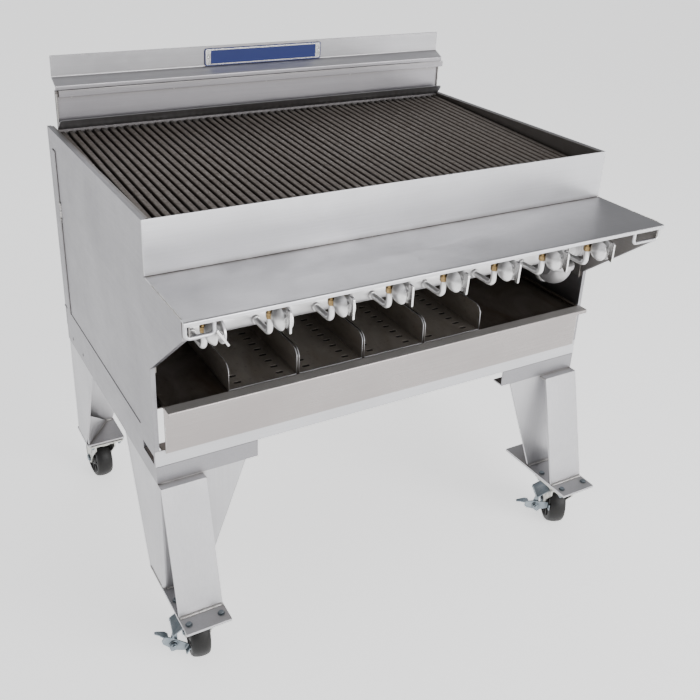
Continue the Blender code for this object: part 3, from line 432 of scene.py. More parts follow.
class Shape:
    """Closed bodies gathered in one mesh, in millimetres of the given place."""

    def __init__(self, place=BODY_PLACE):
        self.mesh = bmesh.new()
        self.place = place

    def take(self, part, slot=0, bevel=0, matrix=None):
        bmesh.ops.recalc_face_normals(part, faces=part.faces)
        if bevel:
            edges = [e for e in part.edges
                     if len(e.link_faces) == 2 and e.calc_face_angle(0) > math.radians(28)]
            bmesh.ops.bevel(part, geom=edges, offset=bevel, offset_type="OFFSET", segments=2,
                            profile=0.5, affect="EDGES", clamp_overlap=True)
        for face in part.faces:
            face.material_index = slot
            face.smooth = True
        if matrix is not None:
            bmesh.ops.transform(part, matrix=matrix, verts=part.verts)
        copy = bpy.data.meshes.new("copy")
        part.to_mesh(copy)
        part.free()
        self.mesh.from_mesh(copy)
        bpy.data.meshes.remove(copy)

    def prism(self, outline, axis, low, high, **options):
        """Outline given as (y, z), (x, z) or (x, y) for an axis of X, Y or Z."""
        part = bmesh.new()
        skin(part, [[part.verts.new(ALONG[axis](a, b, level)) for a, b in outline]
                    for level in (low, high)])
        self.take(part, **options)

    def sheet(self, path, thickness, radius, axis, low, high, **options):
        """A folded sheet run along an axis."""
        part = bmesh.new()
        lines = folded(path, thickness, radius)
        (near_out, near_in), (far_out, far_in) = [
            [[part.verts.new(ALONG[axis](a, b, level)) for a, b in line] for line in lines]
            for level in (low, high)]
        for index in range(len(near_out) - 1):
            after = index + 1
            for first, second in ((near_out, near_in), (far_out, far_in), (near_out, far_out),
                                  (near_in, far_in)):
                part.faces.new((first[index], first[after], second[after], second[index]))
        for index in (0, -1):
            part.faces.new((near_out[index], far_out[index], far_in[index], near_in[index]))
        self.take(part, **options)

    def box(self, low, high, **options):
        outline = [(low[0], low[1]), (high[0], low[1]), (high[0], high[1]), (low[0], high[1])]
        self.prism(outline, "Z", low[2], high[2], **options)

    def slab(self, outlines, low, high):
        """Flat outline in x and y with holes, given thickness along z."""
        curve = bpy.data.curves.new("slab", "CURVE")
        curve.dimensions = "2D"
        curve.fill_mode = "BOTH"
        curve.render_resolution_u = 0
        curve.extrude = (high - low) / 2
        for outline in outlines:
            spline = curve.splines.new("POLY")
            spline.points.add(len(outline) - 1)
            for point, (first, second) in zip(spline.points, outline):
                point.co = (first, second, 0, 1)
            spline.use_cyclic_u = True
        holder = add_object("slab", curve)
        graph = bpy.context.evaluated_depsgraph_get()
        made = bpy.data.meshes.new_from_object(holder.evaluated_get(graph))
        bpy.data.objects.remove(holder)
        bpy.data.curves.remove(curve)
        part = bmesh.new()
        part.from_mesh(made)
        bpy.data.meshes.remove(made)
        bmesh.ops.remove_doubles(part, verts=part.verts, dist=0.001)
        bmesh.ops.translate(part, vec=(0, 0, (low + high) / 2), verts=part.verts)
        self.take(part)

    def lathe(self, profile, axis, centre, steps=32, slot=0, matrix=None, turn=0):
        """Profile of (radius, height) turned about an axis through the centre."""
        part = bmesh.new()
        angles = [turn + 2 * math.pi * step / steps for step in range(steps)]
        rings = []
        for radius, height in profile:
            spots = [(radius * math.cos(a), radius * math.sin(a), height) for a in angles]
            if radius < 1e-6:
                spots = [(0, 0, height)]
            rings.append([part.verts.new(spot) for spot in spots])
        pairs = list(zip(rings, rings[1:]))
        if len(rings[0]) > 1 and len(rings[-1]) > 1:
            pairs.append((rings[-1], rings[0]))
        for first, second in pairs:
            for step in range(steps):
                after = (step + 1) % steps
                if len(first) == 1:
                    part.faces.new((first[0], second[step], second[after]))
                elif len(second) == 1:
                    part.faces.new((first[step], second[0], first[after]))
                else:
                    part.faces.new((first[step], second[step], second[after], first[after]))
        moved = Matrix.Translation(centre) @ TURNED[axis]
        self.take(part, slot=slot, matrix=moved if matrix is None else matrix @ moved)

    def tube(self, points, radius, sides=14, slot=0, rough=0, seed=0, round_end=False):
        """Swept round bar; rough gives a weld bead's ripples."""
        points = [Vector(point) for point in points]
        part = bmesh.new()
        side = (points[1] - points[0]).normalized().orthogonal().normalized()
        rings = []
        for index, point in enumerate(points):
            ahead = points[min(index + 1, len(points) - 1)]
            behind = points[max(index - 1, 0)]
            along = (ahead - behind).normalized()
            side = (side - along * side.dot(along)).normalized()
            up = along.cross(side)
            size = radius
            if rough:
                size *= 1 + rough * noise.noise(point * 0.35 + Vector((seed, 0, 0)))
                size *= 1 + 0.35 * rough * math.sin(index * 2.1)
            if round_end and index in (0, len(points) - 1):
                size *= 0.35
            rings.append([
                part.verts.new(point + side * size * math.cos(2 * math.pi * step / sides)
                               + up * size * math.sin(2 * math.pi * step / sides))
                for step in range(sides)
            ])
        skin(part, rings)
        self.take(part, slot=slot)

    def bead(self, start, end, radius=2.2, slot=0, seed=1):
        """A weld bead."""
        start, end = Vector(start), Vector(end)
        count = max(int((end - start).length / (radius * 0.8)), 4)
        points = [start.lerp(end, index / count) for index in range(count + 1)]
        self.tube(points, radius, sides=8, slot=slot, rough=0.35, seed=seed, round_end=True)

    def hexagon(self, centre, axis, across, height, slot=0, turn=0):
        """A bolt head or a nut, with its corners taken off."""
        radius = across / math.sqrt(3)
        profile = [(0, 0), (radius * 0.9, 0), (radius, 0.9), (radius, height - 0.9),
                   (radius * 0.9, height), (0, height)]
        self.lathe(profile, axis, centre, steps=6, slot=slot, turn=turn)

    def finish(self, name, looks, body, replaced=(), sharp=32):
        mesh = bpy.data.meshes.new(name)
        bmesh.ops.transform(self.mesh, matrix=self.place, verts=self.mesh.verts)
        self.mesh.to_mesh(mesh)
        self.mesh.free()
        for look in looks:
            mesh.materials.append(look)
        mesh.set_sharp_from_angle(angle=math.radians(sharp))
        piece = add_object(name, mesh)
        even = piece.modifiers.new("even_shading", "WEIGHTED_NORMAL")
        even.keep_sharp = True
        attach(piece, body)
        if replaced:
            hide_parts(*replaced)
        return piece


def arc(centre, radius, start, end, steps):
    turns = [math.radians(start + (end - start) * step / steps) for step in range(steps + 1)]
    return [(centre[0] + radius * math.cos(t), centre[1] + radius * math.sin(t)) for t in turns]


def rounded(points, radius, steps=4, closed=False):
    """The path, flat or in space, with each inner corner replaced by an arc."""
    points = [Vector(point) for point in points]
    made = []
    count = len(points)
    for index, point in enumerate(points):
        if not closed and index in (0, count - 1):
            made.append(point)
            continue
        before = points[index - 1]
        after = points[(index + 1) % count]
        back = (before - point).normalized()
        ahead = (after - point).normalized()
        half = back.angle(ahead) / 2
        reach = min(radius / math.tan(half), (before - point).length * 0.48,
                    (after - point).length * 0.48)
        size = reach * math.tan(half)
        centre = point + (back + ahead).normalized() * (size / math.sin(half))
        first = point + back * reach - centre
        last = point + ahead * reach - centre
        for step in range(steps + 1):
            made.append(centre + first.slerp(last, step / steps).normalized() * first.length)
    return [tuple(point) for point in made]


def folded(path, thickness, radius):
    """Both faces of a folded sheet; it lies on the path's left for thickness > 0."""
    outer = [Vector(point) for point in rounded(path, radius)]
    inner = []
    for index, point in enumerate(outer):
        before = outer[max(index - 1, 0)]
        after = outer[min(index + 1, len(outer) - 1)]
        along = (after - before).normalized()
        inner.append(point + Vector((-along.y, along.x)) * thickness)
    return outer, inner


def washer(radius, shoulder, height):
    """Profile of a washer with a worn edge."""
    return [(0, 0), (radius - 0.4, 0), (radius, 0.4), (radius, shoulder),
            (radius - 0.4, height), (0, height)]


def repaint(piece, slot, test):
    """Give the faces that pass the test (centre in mm, normal) another material slot."""
    inverse = BODY_PLACE.inverted()
    for face in piece.data.polygons:
        if face.material_index == 0 and test(inverse @ face.center, face.normal):
            face.material_index = slot


def dress(node, look, bevel=0.9, segments=2):
    """Give a CAD node its material and slightly rounded edges."""
    obj = NODES[node]
    obj.data.materials.clear()
    obj.data.materials.append(look)
    weld = obj.modifiers.new("weld", "WELD")
    weld.merge_threshold = 0.00002
    edge = obj.modifiers.new("edge", "BEVEL")
    edge.width = bevel * MM
    edge.segments = segments
    edge.limit_method = "ANGLE"
    edge.angle_limit = math.radians(30)
    edge.harden_normals = True


def valve_x(index):
    return (index - (BURNERS - 1) / 2) * PITCH


# Sheet-metal body -----------------------------------------------------------------------

def side_panels():
    outline = [
        (4.3, 0), (DEPTH, 0), (DEPTH, -478), (88, -478), (88, -533.7),
        (78, -533.7), (78, -512), (10, -512), (10, -533.7), (3.3, -533.7),
        (3.3, -495.7), (0, -495.7), (0, -303), (-188, -153.6), (-188, -115.1),
        (0, -113.1), (4.3, -113.1),
    ]
    cheek = [(-196, -145.2), (-196, -118), (6, -116), (6, -306), (2, -302)]
    for label, side in SIDES:
        shape = Shape()
        shape.prism(outline, "X", *pair(side, 549, 559), bevel=0.9)
        # Cheek inside, in the darker inner steel: painted shade.
        shape.prism(cheek, "X", *pair(side, 546.6, 549.05), slot=1)
        # Liner, the ledge inside it, and the cover strip near the rear edge; liner and ledge take
        # the darker inner steel as painted shade.
        for near, far, front, rear, low, high, slot, bevel in (
                (544, 550, 8, 702, -320, 0, 1, 0.8),
                (525, 550, 10, 650, -403.4, -400.4, 1, 0.5),
                (558.4, 562.2, 646, 672, -476, -46, 0, 1.6)):
            left, right = pair(side, near, far)
            shape.box((left, front, low), (right, rear, high), slot=slot, bevel=bevel)
        # Weld run and plug welds on the strip.
        shape.bead((side * 559.2, 645, -178), (side * 559.2, 645, -214), 3, slot=2,
                   seed=4)
        for z in (-176, -216):
            shape.bead((side * 560.4, 640, z), (side * 560.4, 652, z), 3.2, slot=2, seed=z)
        # Rolled hem along the lower edge.
        shape.tube([(side * 558.6, 89, -476.4), (side * 558.6, DEPTH - 1.2, -476.4)], 2.2,
                   sides=12)
        # Stitch welds between the shelf's end and the cheek.
        for y in (-150, -112, -74, -36):
            shape.bead((side * 558, y - 36, -112.6), (side * 558, y + 1, -112.2), 1.9,
                       slot=2, seed=y)
        # The outer wall, and the rail below, take the darker side steel: painted shade on the
        # sides.
        shape.finish("side_wall_" + label, [STEEL_Y_SHADED, INNER_SHADED, WELD], FIXED, ["side_panel_" + label])
        dress("side_base_rail_" + label, STEEL_Y_SHADED, 1)
        # Bolt holes in the rail with their bright rims; each hole is a near-black disc of burner
        # iron, painted shade standing in for the open hole.
        fittings = Shape()
        for y in (DEPTH - 54, DEPTH - 150):
            for profile, slot in (
                    ([(0, -0.4), (3.6, -0.4), (3.6, 0.2), (0, 0.2)], 1),
                    ([(3.6, -0.4), (5, -0.4), (5, 0.3), (4.6, 0.5), (3.6, 0.5)], 0)):
                fittings.lathe(profile, "X", (side * (HALF - 1), y, -553), steps=20, slot=slot)
        fittings.finish("rail_bolt_holes_" + label, [STEEL_Y_SHADED, BURNER_IRON], FIXED)


def front_panel():
    shape = Shape()
    shape.box((-HALF, 0, -110), (HALF, 4, 0), bevel=0.9)
    for side in (-1, 1):
        x = side * (HALF - 0.6)
        shape.bead((x, 3.9, -105), (x, 3.9, -4), 0.9, slot=1, seed=7 + side)
    shape.finish("front_panel_sheet", [STEEL_X, WELD], FIXED, ["front_panel"])


def front_shelf():
    shape = Shape()
    path = [(-0.4, -110.3), (-202, -112.3), (-202, -121)]
    shape.sheet(path, 2.5, 3.4, "X", -HALF, HALF)
    # Bar loop at each end, with a weld where it meets the shelf again.
    y, high, low = -193, -113.5, -147.3
    for side, reach in ((-1, 57), (1, 78)):
        start, end = side * (HALF - 4.6), side * (HALF - reach)
        points = [(start, y, high), (start, y, low), (end, y, low), (end, y, high)]
        shape.tube(rounded(points, 9, 7), 4, sides=18)
        shape.lathe([(0, 1.2), (5, 0.4), (6.4, -1.5), (5.6, -3.4), (0, -4)], "Z",
                    (end, y, -115.2), steps=18, slot=1)
    piece = shape.finish("front_shelf_sheet", [STEEL_X, WELD, SHELF_TOP_SHADED], FIXED, ["front_shelf"])
    # Upward faces take the darker shelf steel: painted shade on the top.
    repaint(piece, 2, lambda centre, normal: normal.z > 0.8)


def backsplash():
    shape = Shape()
    path = [(664, -40), (664, 92), (652, 92), (652, 104), (683, 119),
            (681, 168.4)]
    shape.sheet(path, -2.5, 3.2, "X", -543.4, 543.4)
    # Hem behind the top edge, and the bar under the ledge with its stub at the right.
    hem = [(683.4, 168.8), (686, 168.6), (686.3, 158), (683.8, 158)]
    shape.prism(hem, "X", -542.6, 542.6, bevel=0.8)
    shape.box((-535.4, 657, 76), (553.4, 665, 91.8), bevel=0.8)
    for x in (-505, -252, 0, 252, 505):
        shape.lathe([(0, 0.7), (3, 0.5), (4.6, 0), (0, -0.4)], "Y", (x, 663.9, 78),
                    steps=16, slot=1)
    for side in (-1, 1):
        shape.bead((side * 541, 661.5, 4), (side * 541, 661.5, 86), 1.8, slot=1, seed=side)
    looks = [SPLASH_LOW_SHADED, WELD, SPLASH_TOP, SPLASH_LEDGE_LIT]
    piece = shape.finish("splash_sheet", looks, FIXED, ["backsplash"])
    # Painted light on the ledge's upward faces, and the mid tone above; the rest keeps the darker
    # lower steel as painted shade.
    repaint(piece, 3, lambda centre, normal: centre.z > 90 and normal.z > 0.3)
    repaint(piece, 2, lambda centre, normal: centre.z > 105)


def splash_deflector():
    place = (BODY_PLACE @ Matrix.Translation((0, 659, 1))
             @ Matrix.Rotation(math.radians(38), 4, "X"))
    shape = Shape(place)
    half, height, corner = 543.7, 32, 9
    outline = [(-half, 0), (half, 0)]
    outline += arc((half - corner, height - corner), corner, 0, 90, 6)
    outline += arc((-half + corner, height - corner), corner, 90, 180, 6)
    shape.prism(outline, "Y", -1, 1, bevel=0.5)
    shape.finish("deflector_sheet", [STEEL_X], FIXED, ["splash_deflector"])


def nameplate():
    """Plain enamelled plate with a bright border and two rivets."""
    shape = Shape()
    lean = Matrix.Translation((2, 680.9, 141.2)) @ Matrix.Rotation(math.radians(2.2), 4, "X")
    for width, height, corner, front, back, slot, bevel in (
            (165, 21.6, 6, -1, 0, 1, 0.3), (162.6, 19.4, 5, -1.7, -0.8, 0, 0.3),
            (148.5, 16.4, 2, -2.1, -1.5, 1, 0.15)):
        outline = []
        for turn, (sx, sz) in zip((0, 90, 180, 270), ((1, 1), (-1, 1), (-1, -1), (1, -1))):
            outline += arc((sx * (width - corner), sz * (height - corner)), corner,
                           turn, turn + 90, 5)
        shape.prism(outline, "Y", front, back, slot=slot, bevel=bevel, matrix=lean)
    for x in (-156, 156):
        shape.lathe([(0, -1.7), (2, -1.4), (3.2, 0), (0, 0.5)], "Y", (x, -1.7, 0),
                    steps=18, slot=2, matrix=lean)
    shape.finish("enamel_plate", [BRIGHT, ENAMEL, BRIGHT], FIXED, ["nameplate"])


def frame_members():
    for end in ("front", "rear"):
        dress("base_rail_" + end, STEEL_X, 1)
        for label, _ in SIDES:
            dress("leg_%s_%s" % (end, label), STEEL_Z, 1.3, 3)
    dress("rear_panel", STEEL_X, 0.6)
    for kind in ("burner", "radiant"):
        dress(kind + "_rack", BURNER_IRON, 0.8)


def leg_details():
    """Weld beads and caster bolts on the legs."""
    # Inset from the side, y and height above the foot of each end; radius; seed.
    beads = (
        ((2, -96, 1), (99, -96, 1), 2.6, 1),
        ((9, -0.6, 0.5), (95, -0.6, 0.5), 2.2, 2),
        ((0.9, 12, 0.5), (0.9, 86, 0.5), 2, 3),
        ((100.6, -1, 274.7), (100.6, -20, 276.7), 1.8, 4),
        ((9, DEPTH - 5.2, 0.6), (95, DEPTH - 5.4, 0.6), 2, 5),
        ((6.4, DEPTH - 98, 0.6), (6.4, DEPTH - 12, 0.6), 2, 6),
        ((8, DEPTH - 96, 1.2), (80, DEPTH - 8, 1.2), 2, 8),
    )
    for label, side in SIDES:
        shape = Shape()

        def spot(inset, y, height):
            return (side * (HALF - inset), y, FOOT_Z + height)

        for start, end, radius, seed in beads:
            shape.bead(spot(*start), spot(*end), radius, seed=seed)
        for y, turn in ((-119, 0.4 * side), (-42, 0.1)):
            for inset in (14, 86):
                shape.lathe(washer(7.6, 0.9, 1.2), "Z", spot(inset, y, 0.2), steps=24, slot=1)
                shape.hexagon(spot(inset, y, 1.2), "Z", 10.6, 3.6, slot=1, turn=turn)
        shape.finish("leg_fasteners_" + label, [WELD, ZINC_BLUE], FIXED)


# Casters --------------------------------------------------------------------------------

def caster_place(corner):
    """Frame on the wheel's centre: x along the axle, y trailing, z up, in millimetres."""
    roll = JOINTS["roll_" + corner]
    axle = Vector(roll["axis"]).normalized()
    up = Vector((0, 0, 1))
    turn = Matrix((axle, up.cross(axle), up)).transposed().to_4x4()
    return Matrix.Translation(roll["pos_m"]) @ turn @ Matrix.Scale(MM, 4)


def wheel(corner):
    shape = Shape(caster_place(corner))
    face = [(8, 20.5), (13, 20.5), (14, 19), (17.5, 19), (18.5, 20.6), (21.5, 20.6),
            (24, 18), (26, 16.2), (41, 16.6), (43.5, 18), (45, 20.6), (47, 21.8)]
    edge = [(50, 21.8), (54, 20.4), (56.8, 17.4), (58.4, 13), (59.4, 8), (59.95, 3.5)]
    half = face + edge
    shape.lathe(half + [(r, -h) for r, h in reversed(half)], "X", (0, 0, 0), steps=72)
    for side, seal in ((-1, -22.6), (1, 20.4)):
        shape.lathe([(6.8, 0), (12.6, 0), (12.6, 1.6), (11.6, 2.2), (6.8, 2.2)], "X",
                    (seal, 0, 0), slot=1)
        # Ribs in the web between hub and rim.
        low, high = pair(side, 14, 19)
        for index in range(10):
            shape.box((low, -1.6, 22), (high, 1.6, 43.5), bevel=0.8,
                      matrix=Matrix.Rotation(index * math.pi / 5, 4, "X"))
    shape.finish("caster_wheel_" + corner, [TYRE, ZINC_WARM], "wheel_body_" + corner,
                 ["wheel_" + corner], sharp=40)


def fork(corner):
    shape = Shape(caster_place(corner))
    mount_plate, race = 5, 6.6
    top = TOP_Z / MM + FOOT_Z - FOOT_PLATE - mount_plate - race - WHEEL_RADIUS
    crown = -40
    dome = [(0, top), (24, top), (27.5, top - 1.2), (31.5, top - 4.5), (33, top - 7),
            (33, top - 9), (30, top - 11), (0, top - 11)]
    shape.lathe(dome, "Z", (0, crown, 0), steps=40)
    plate_top = top - 7
    front = crown - 26
    corners = [(-29, front), (29, front), (29, 4), (-29, 4)]
    shape.prism(rounded(corners, 7, closed=True), "Z", top - 11, plate_top, bevel=1)
    shape.hexagon((0, crown, top - 17), "Z", 16, 6.4)
    leg = [(front, plate_top - 0.5), (front, top - 24), (-30, 20)]
    leg += arc((0, 0), 15.5, 200, 340, 10)
    leg += [(17.5, 16), (20, top - 26), (20, plate_top - 6), (4, plate_top - 0.5)]
    for side, washer_x, nut_x, turn in ((-1, -30.8, -33.8, 0.1), (1, 29, 30.4, 0.3)):
        shape.prism(rounded(leg, 5, 3, closed=True), "X", *pair(side, 25, 29), bevel=0.9)
        # Pressed rib down each leg.
        shape.tube([(side * 28.2, -36, top - 20), (side * 28.6, -24, 34),
                    (side * 28.2, -12, 14)], 3, sides=12, round_end=True)
        shape.lathe(washer(11, 1.4, 1.8), "X", (washer_x, 0, 0), steps=28, slot=1)
        shape.hexagon((nut_x, 0, 0), "X", 15, 3.4, slot=1, turn=turn)
    shape.lathe([(0, -29), (6, -29), (6, 29), (0, 29)], "X", (0, 0, 0), steps=20)
    if corner in BRAKE_TILT:
        # Sloping hood off the left leg, lipped along its outer edge.
        shape.sheet([(-60, 36.4), (-60, 44.4), (-25.5, 69.4)], -2.6, 3.4, "Y", -52, 0,
                    slot=1)
        shape.tube([(-45, -44, 54.4), (-45, -8, 54.4)], 2.6, sides=12, slot=1,
                   round_end=True)
        for y in (-52, 0):
            shape.tube(rounded([(-59.6, y, 37), (-59.6, y, 44.4), (-25.5, y, 69.2)], 4),
                       1.7, sides=10, slot=1)
        # Flange that carries the brake's bolt.
        flange = [(-65, 0), (-49, 0), (-49, 50), (-58.7, 43.5), (-65, 18)]
        shape.prism(rounded(flange, 3, 3, closed=True), "Y", -37.7, -34.7, slot=1, bevel=0.7)
        shape.hexagon((-58, -34.7, 10), "Y", 13, 5, slot=1, turn=0.2)
    shape.finish("caster_yoke_" + corner, [ZINC_WARM, ZINC_BLUE], "fork_" + corner,
                 ["caster_fork_" + corner])


def caster_mount(corner):
    low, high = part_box("caster_mount_" + corner)
    centre = (low + high) / 2
    shape = Shape(Matrix.Translation((centre.x, centre.y, high.z)) @ Matrix.Scale(MM, 4))
    half_x, half_y = (high.x - low.x) / 2 / MM, (high.y - low.y) / 2 / MM
    plate = [(-half_x, -half_y), (half_x, -half_y), (half_x, half_y), (-half_x, half_y)]
    shape.prism(rounded(plate, 8, 5, closed=True), "Z", -5, 0, bevel=0.9)
    race = [(0, -4), (33, -4), (33, -5.6), (31, -8.2), (27, -10.6), (0, -10.6)]
    shape.lathe(race, "Z", (0, 0, 0), steps=40)
    for sx in (-1, 1):
        for sy in (-1, 1):
            x, y = sx * (half_x - 11), sy * (half_y - 12)
            shape.hexagon((x, y, -11.2), "Z", 12.6, 6, slot=1, turn=0.2 * sx)
            shape.lathe([(0, -16.5), (3.2, -16.5), (3.9, -15.8), (3.9, -5), (0, -5)], "Z",
                        (x, y, 0), steps=14, slot=1)
    shape.finish("caster_plate_" + corner, [ZINC_WARM, ZINC_BLUE], FIXED,
                 ["caster_mount_" + corner])


def brake_lever(corner):
    joint = JOINTS["brake_" + corner]
    spin = caster_place(corner).to_3x3().normalized().to_4x4()
    tilt = Matrix.Rotation(math.radians(BRAKE_TILT[corner]), 4, "Y")
    shape = Shape(Matrix.Translation(joint["pos_m"]) @ spin @ tilt @ Matrix.Scale(MM, 4))
    web = [(-29, -2), (-22, -8), (-10, -10.5), (-4, -12), (0, -16), (5, -20),
           (10, -17), (13, -13), (22, -11), (33, -8), (33, 10), (24, 10.6),
           (6, 12), (-8, 14), (-20, 12.6), (-29, 11)]
    shape.prism(rounded(web, 2.4, 3, closed=True), "Y", -3, 0, bevel=0.8)
    # Tab turned forward beside the tread, with pressed teeth.
    shape.sheet([(24, -2.9), (32.4, -2.9), (32.4, -15.6)], 2.6, 3.2, "Z", -6.5, 9.5)
    for index in range(4):
        z = -4.4 + index * 3.6
        shape.box((31.6, -14.4, z), (33.3, -5, z + 1.7), bevel=0.5)
    # Pedal: the web's top edge folded over and drawn out to a tip.
    stations = [(-18, 8.6, 14, -2), (-26, 9, 16.5, -2.5), (-33, 8.6, 15, -2),
                (-40, 9, 12.5, 0.5), (-46, 8.4, 11, 1.8), (-50.6, 7.4, 9.6, 3)]
    part = bmesh.new()
    skin(part, [[part.verts.new((x, y, z + rise)) for y, rise in
                 ((front, -1.4), (back, -1.4), (back, 1.4), (front, 1.4))]
                for x, z, back, front in stations])
    shape.take(part, bevel=0.7)
    # Pivot bolt: washer, nut and thread end.
    shape.lathe(washer(10, 1.2, 1.6), "Y", (0, -4.8, 0), steps=24, slot=1)
    shape.hexagon((0, -9.6, 0), "Y", 13.5, 5, slot=1, turn=0.35)
    shape.lathe([(0, 0), (3.2, 0), (3.8, 0.6), (3.8, 4), (0, 4)], "Y",
                (0, -12.4, 0), steps=14, slot=1)
    shape.finish("brake_pedal_" + corner, [ZINC_BLUE, ZINC_BLUE], "brake_" + corner,
                 ["brake_lever_" + corner])


# Gas train ------------------------------------------------------------------------------

VALVE_Y, VALVE_Z = -112, -191
PIPE_Y, PIPE_Z, PIPE_RADIUS = 8, -233, 24
FEED_Y, FEED_Z, FEED_RADIUS = -82, -235, 6.5
ELBOW_X, ELBOW_Z, SUPPLY_RADIUS = 475, -301, 17


def gas_valve(number):
    shape = Shape()
    x = valve_x(number - 1)
    feed_x = x - 8

    def spot(right, back, up):
        return (x + right, VALVE_Y + back, VALVE_Z + up)

    def fed(right, back, up):
        return (feed_x + right, FEED_Y + back, VALVE_Z + up)

    # Lens-like left cap, waist, and flange on the right with its three screws.
    cap = [(0, -17), (6, -16.6), (12, -14.9), (17, -12), (20.5, -8.8), (22.8, -6),
           (23.9, -4.2), (24, -2.6), (23.2, -1.8)]
    waist = [(17, -1.2), (14.4, 0.6), (14, 2.4), (14, 8), (15.2, 9.6)]
    flange = [(22.6, 10.4), (23.8, 11.2), (24, 12.4), (24, 14.6), (23.2, 15.6), (17, 15.9),
              (16, 15), (0, 15)]
    shape.lathe(cap + waist + flange, "X", spot(0, 0, 0), steps=56)
    for back, up in arc((0, 0), 19.6, 90, 330, 2):
        shape.lathe([(0, 0), (2.2, 0), (2.2, 1.2), (1.6, 1.9), (0, 1.9)], "X",
                    spot(14.8, back, up), steps=12)
    # Stem boss for the lever.
    shape.tube([spot(1, -8, 7), spot(1, -24.2, 7)], 6.2, sides=20)
    # Brass: union nut on the feed tube, and a tee with its spud into the valve.
    shape.hexagon(fed(0, 0, -11), "Z", 15, 12.5, slot=1, turn=0.3)
    shape.lathe([(0, 0), (6.8, 0.4), (7, 1.6), (7, 5.4), (6.2, 6.6), (0, 6.6)], "Z",
                fed(0, 0, 1), steps=20, slot=1)
    shape.hexagon(fed(0, 0, 7), "Z", 13, 5.6, slot=1, turn=0.9)
    shape.tube([fed(0, 0, 4.5), fed(8, -1, 4.5)], 5.8, sides=18, slot=1)
    shape.hexagon(fed(7, -1.5, 4.5), "X", 14.5, 8, slot=1, turn=0.2)
    shape.tube([fed(11, -1, 4.5), spot(3, 8, 2)], 5.4, sides=16, slot=1)
    # Feed tube: up from the bend to the brass, and level into the manifold's boss.
    pipe_front = PIPE_Y - PIPE_RADIUS
    path = [fed(0, 0, -8), (feed_x, FEED_Y, FEED_Z), (feed_x, pipe_front + 2, FEED_Z)]
    shape.tube(rounded(path, 13, 9), FEED_RADIUS, sides=22)
    collar = [(6.2, 0), (8.2, 0.4), (9, 1.8), (9.6, 5), (9.6, 7), (6.2, 7)]
    shape.lathe(collar, "Y", (feed_x, pipe_front - 5.4, FEED_Z), steps=24)
    shape.finish("valve_%d" % number, [VALVE_CAST, BRASS], FIXED, ["gas_valve_%d" % number],
                 sharp=35)


def valve_lever(number):
    joint = JOINTS["valve_turn_%d" % number]
    tilt = Matrix.Rotation(-math.radians(LEVER_TURNS[number - 1]), 4, "Y")
    shape = Shape(Matrix.Translation(joint["pos_m"]) @ tilt @ Matrix.Scale(MM, 4))
    paddle = [(-15.8, -22.6), (-15.8, 20), (-12, 22.8), (-0.5, 22.8), (-0.5, -13),
              (-9.5, -22.6)]
    shape.prism(rounded(paddle, 2, closed=True), "X", -2.3, 2.3, bevel=0.8)
    shape.lathe([(0, 0), (5.4, 0), (5.9, 0.5), (5.9, 2.2), (5.2, 2.8), (0, 2.8)], "X",
                (2, -7, 0), steps=20)
    shape.finish("lever_paddle_%d" % number, [BRIGHT], "lever_%d" % number,
                 ["valve_lever_%d" % number])


def manifold():
    shape = Shape()
    left, right = -535, 533
    shape.tube([(left + 6, PIPE_Y, PIPE_Z), (right - 6, PIPE_Y, PIPE_Z)], PIPE_RADIUS,
               sides=48)
    cap = [(0, 0), (21, 0), (24.8, 1.4), (25.8, 3.4), (25.8, 17), (24.6, 18.4),
           (0, 18.4)]
    collar = [(23, -3.6), (26.4, -3.4), (27, -2), (27, 4), (25.6, 5.4), (25.6, 20),
              (27, 21.4), (27, 28), (26, 29.6), (23, 30)]
    for profile, x in ((cap, left), ([(r, -h) for r, h in cap], right), (collar, ELBOW_X)):
        shape.lathe(profile, "X", (x, PIPE_Y, PIPE_Z), steps=48)
    # Nipple that drops to the elbow.
    shape.tube([(ELBOW_X, PIPE_Y, PIPE_Z), (ELBOW_X, PIPE_Y, ELBOW_Z + 35.6)], SUPPLY_RADIUS,
               sides=32)
    shape.finish("manifold_pipe", [CASTING], FIXED, ["gas_manifold"])


def inlet_elbow():
    shape = Shape()

    def spot(back, up, right=0):
        return (ELBOW_X + right, PIPE_Y + back, ELBOW_Z + up)

    bend = 26
    path = [(0, 33)] + arc((bend, bend), bend, 180, 270, 14) + [(48, 0)]
    shape.tube([spot(*point) for point in path], 29.2, sides=48)
    band = [(0, -1.5), (31.4, -1.5), (33.4, 0.4), (34, 2.4), (34, 9), (33.2, 11.6),
            (31, 13.4), (0, 13.4)]
    shape.lathe(band, "Z", spot(0, 21.6), steps=52)
    shape.lathe(band, "Y", spot(36, 0), steps=52)
    # Parting line left by the mould.
    shape.tube([spot(back - 4, up, -29) for back, up in path[2:]], 1.1, sides=8)
    # Supply pipe, with its thread behind the rear panel.
    shape.tube([spot(44, 0), (ELBOW_X, DEPTH + 21.6, ELBOW_Z)], SUPPLY_RADIUS, sides=32)
    for ridge in range(5):
        shape.lathe([(16.8, 0), (17.6, 0.7), (16.8, 1.4)], "Y",
                    (ELBOW_X, DEPTH + 6 + ridge * 2.4, ELBOW_Z))
    shape.finish("inlet_elbow_cast", [CASTING], FIXED, ["gas_inlet_elbow"])


# Grates, pan and trays --------------------------------------------------------------------

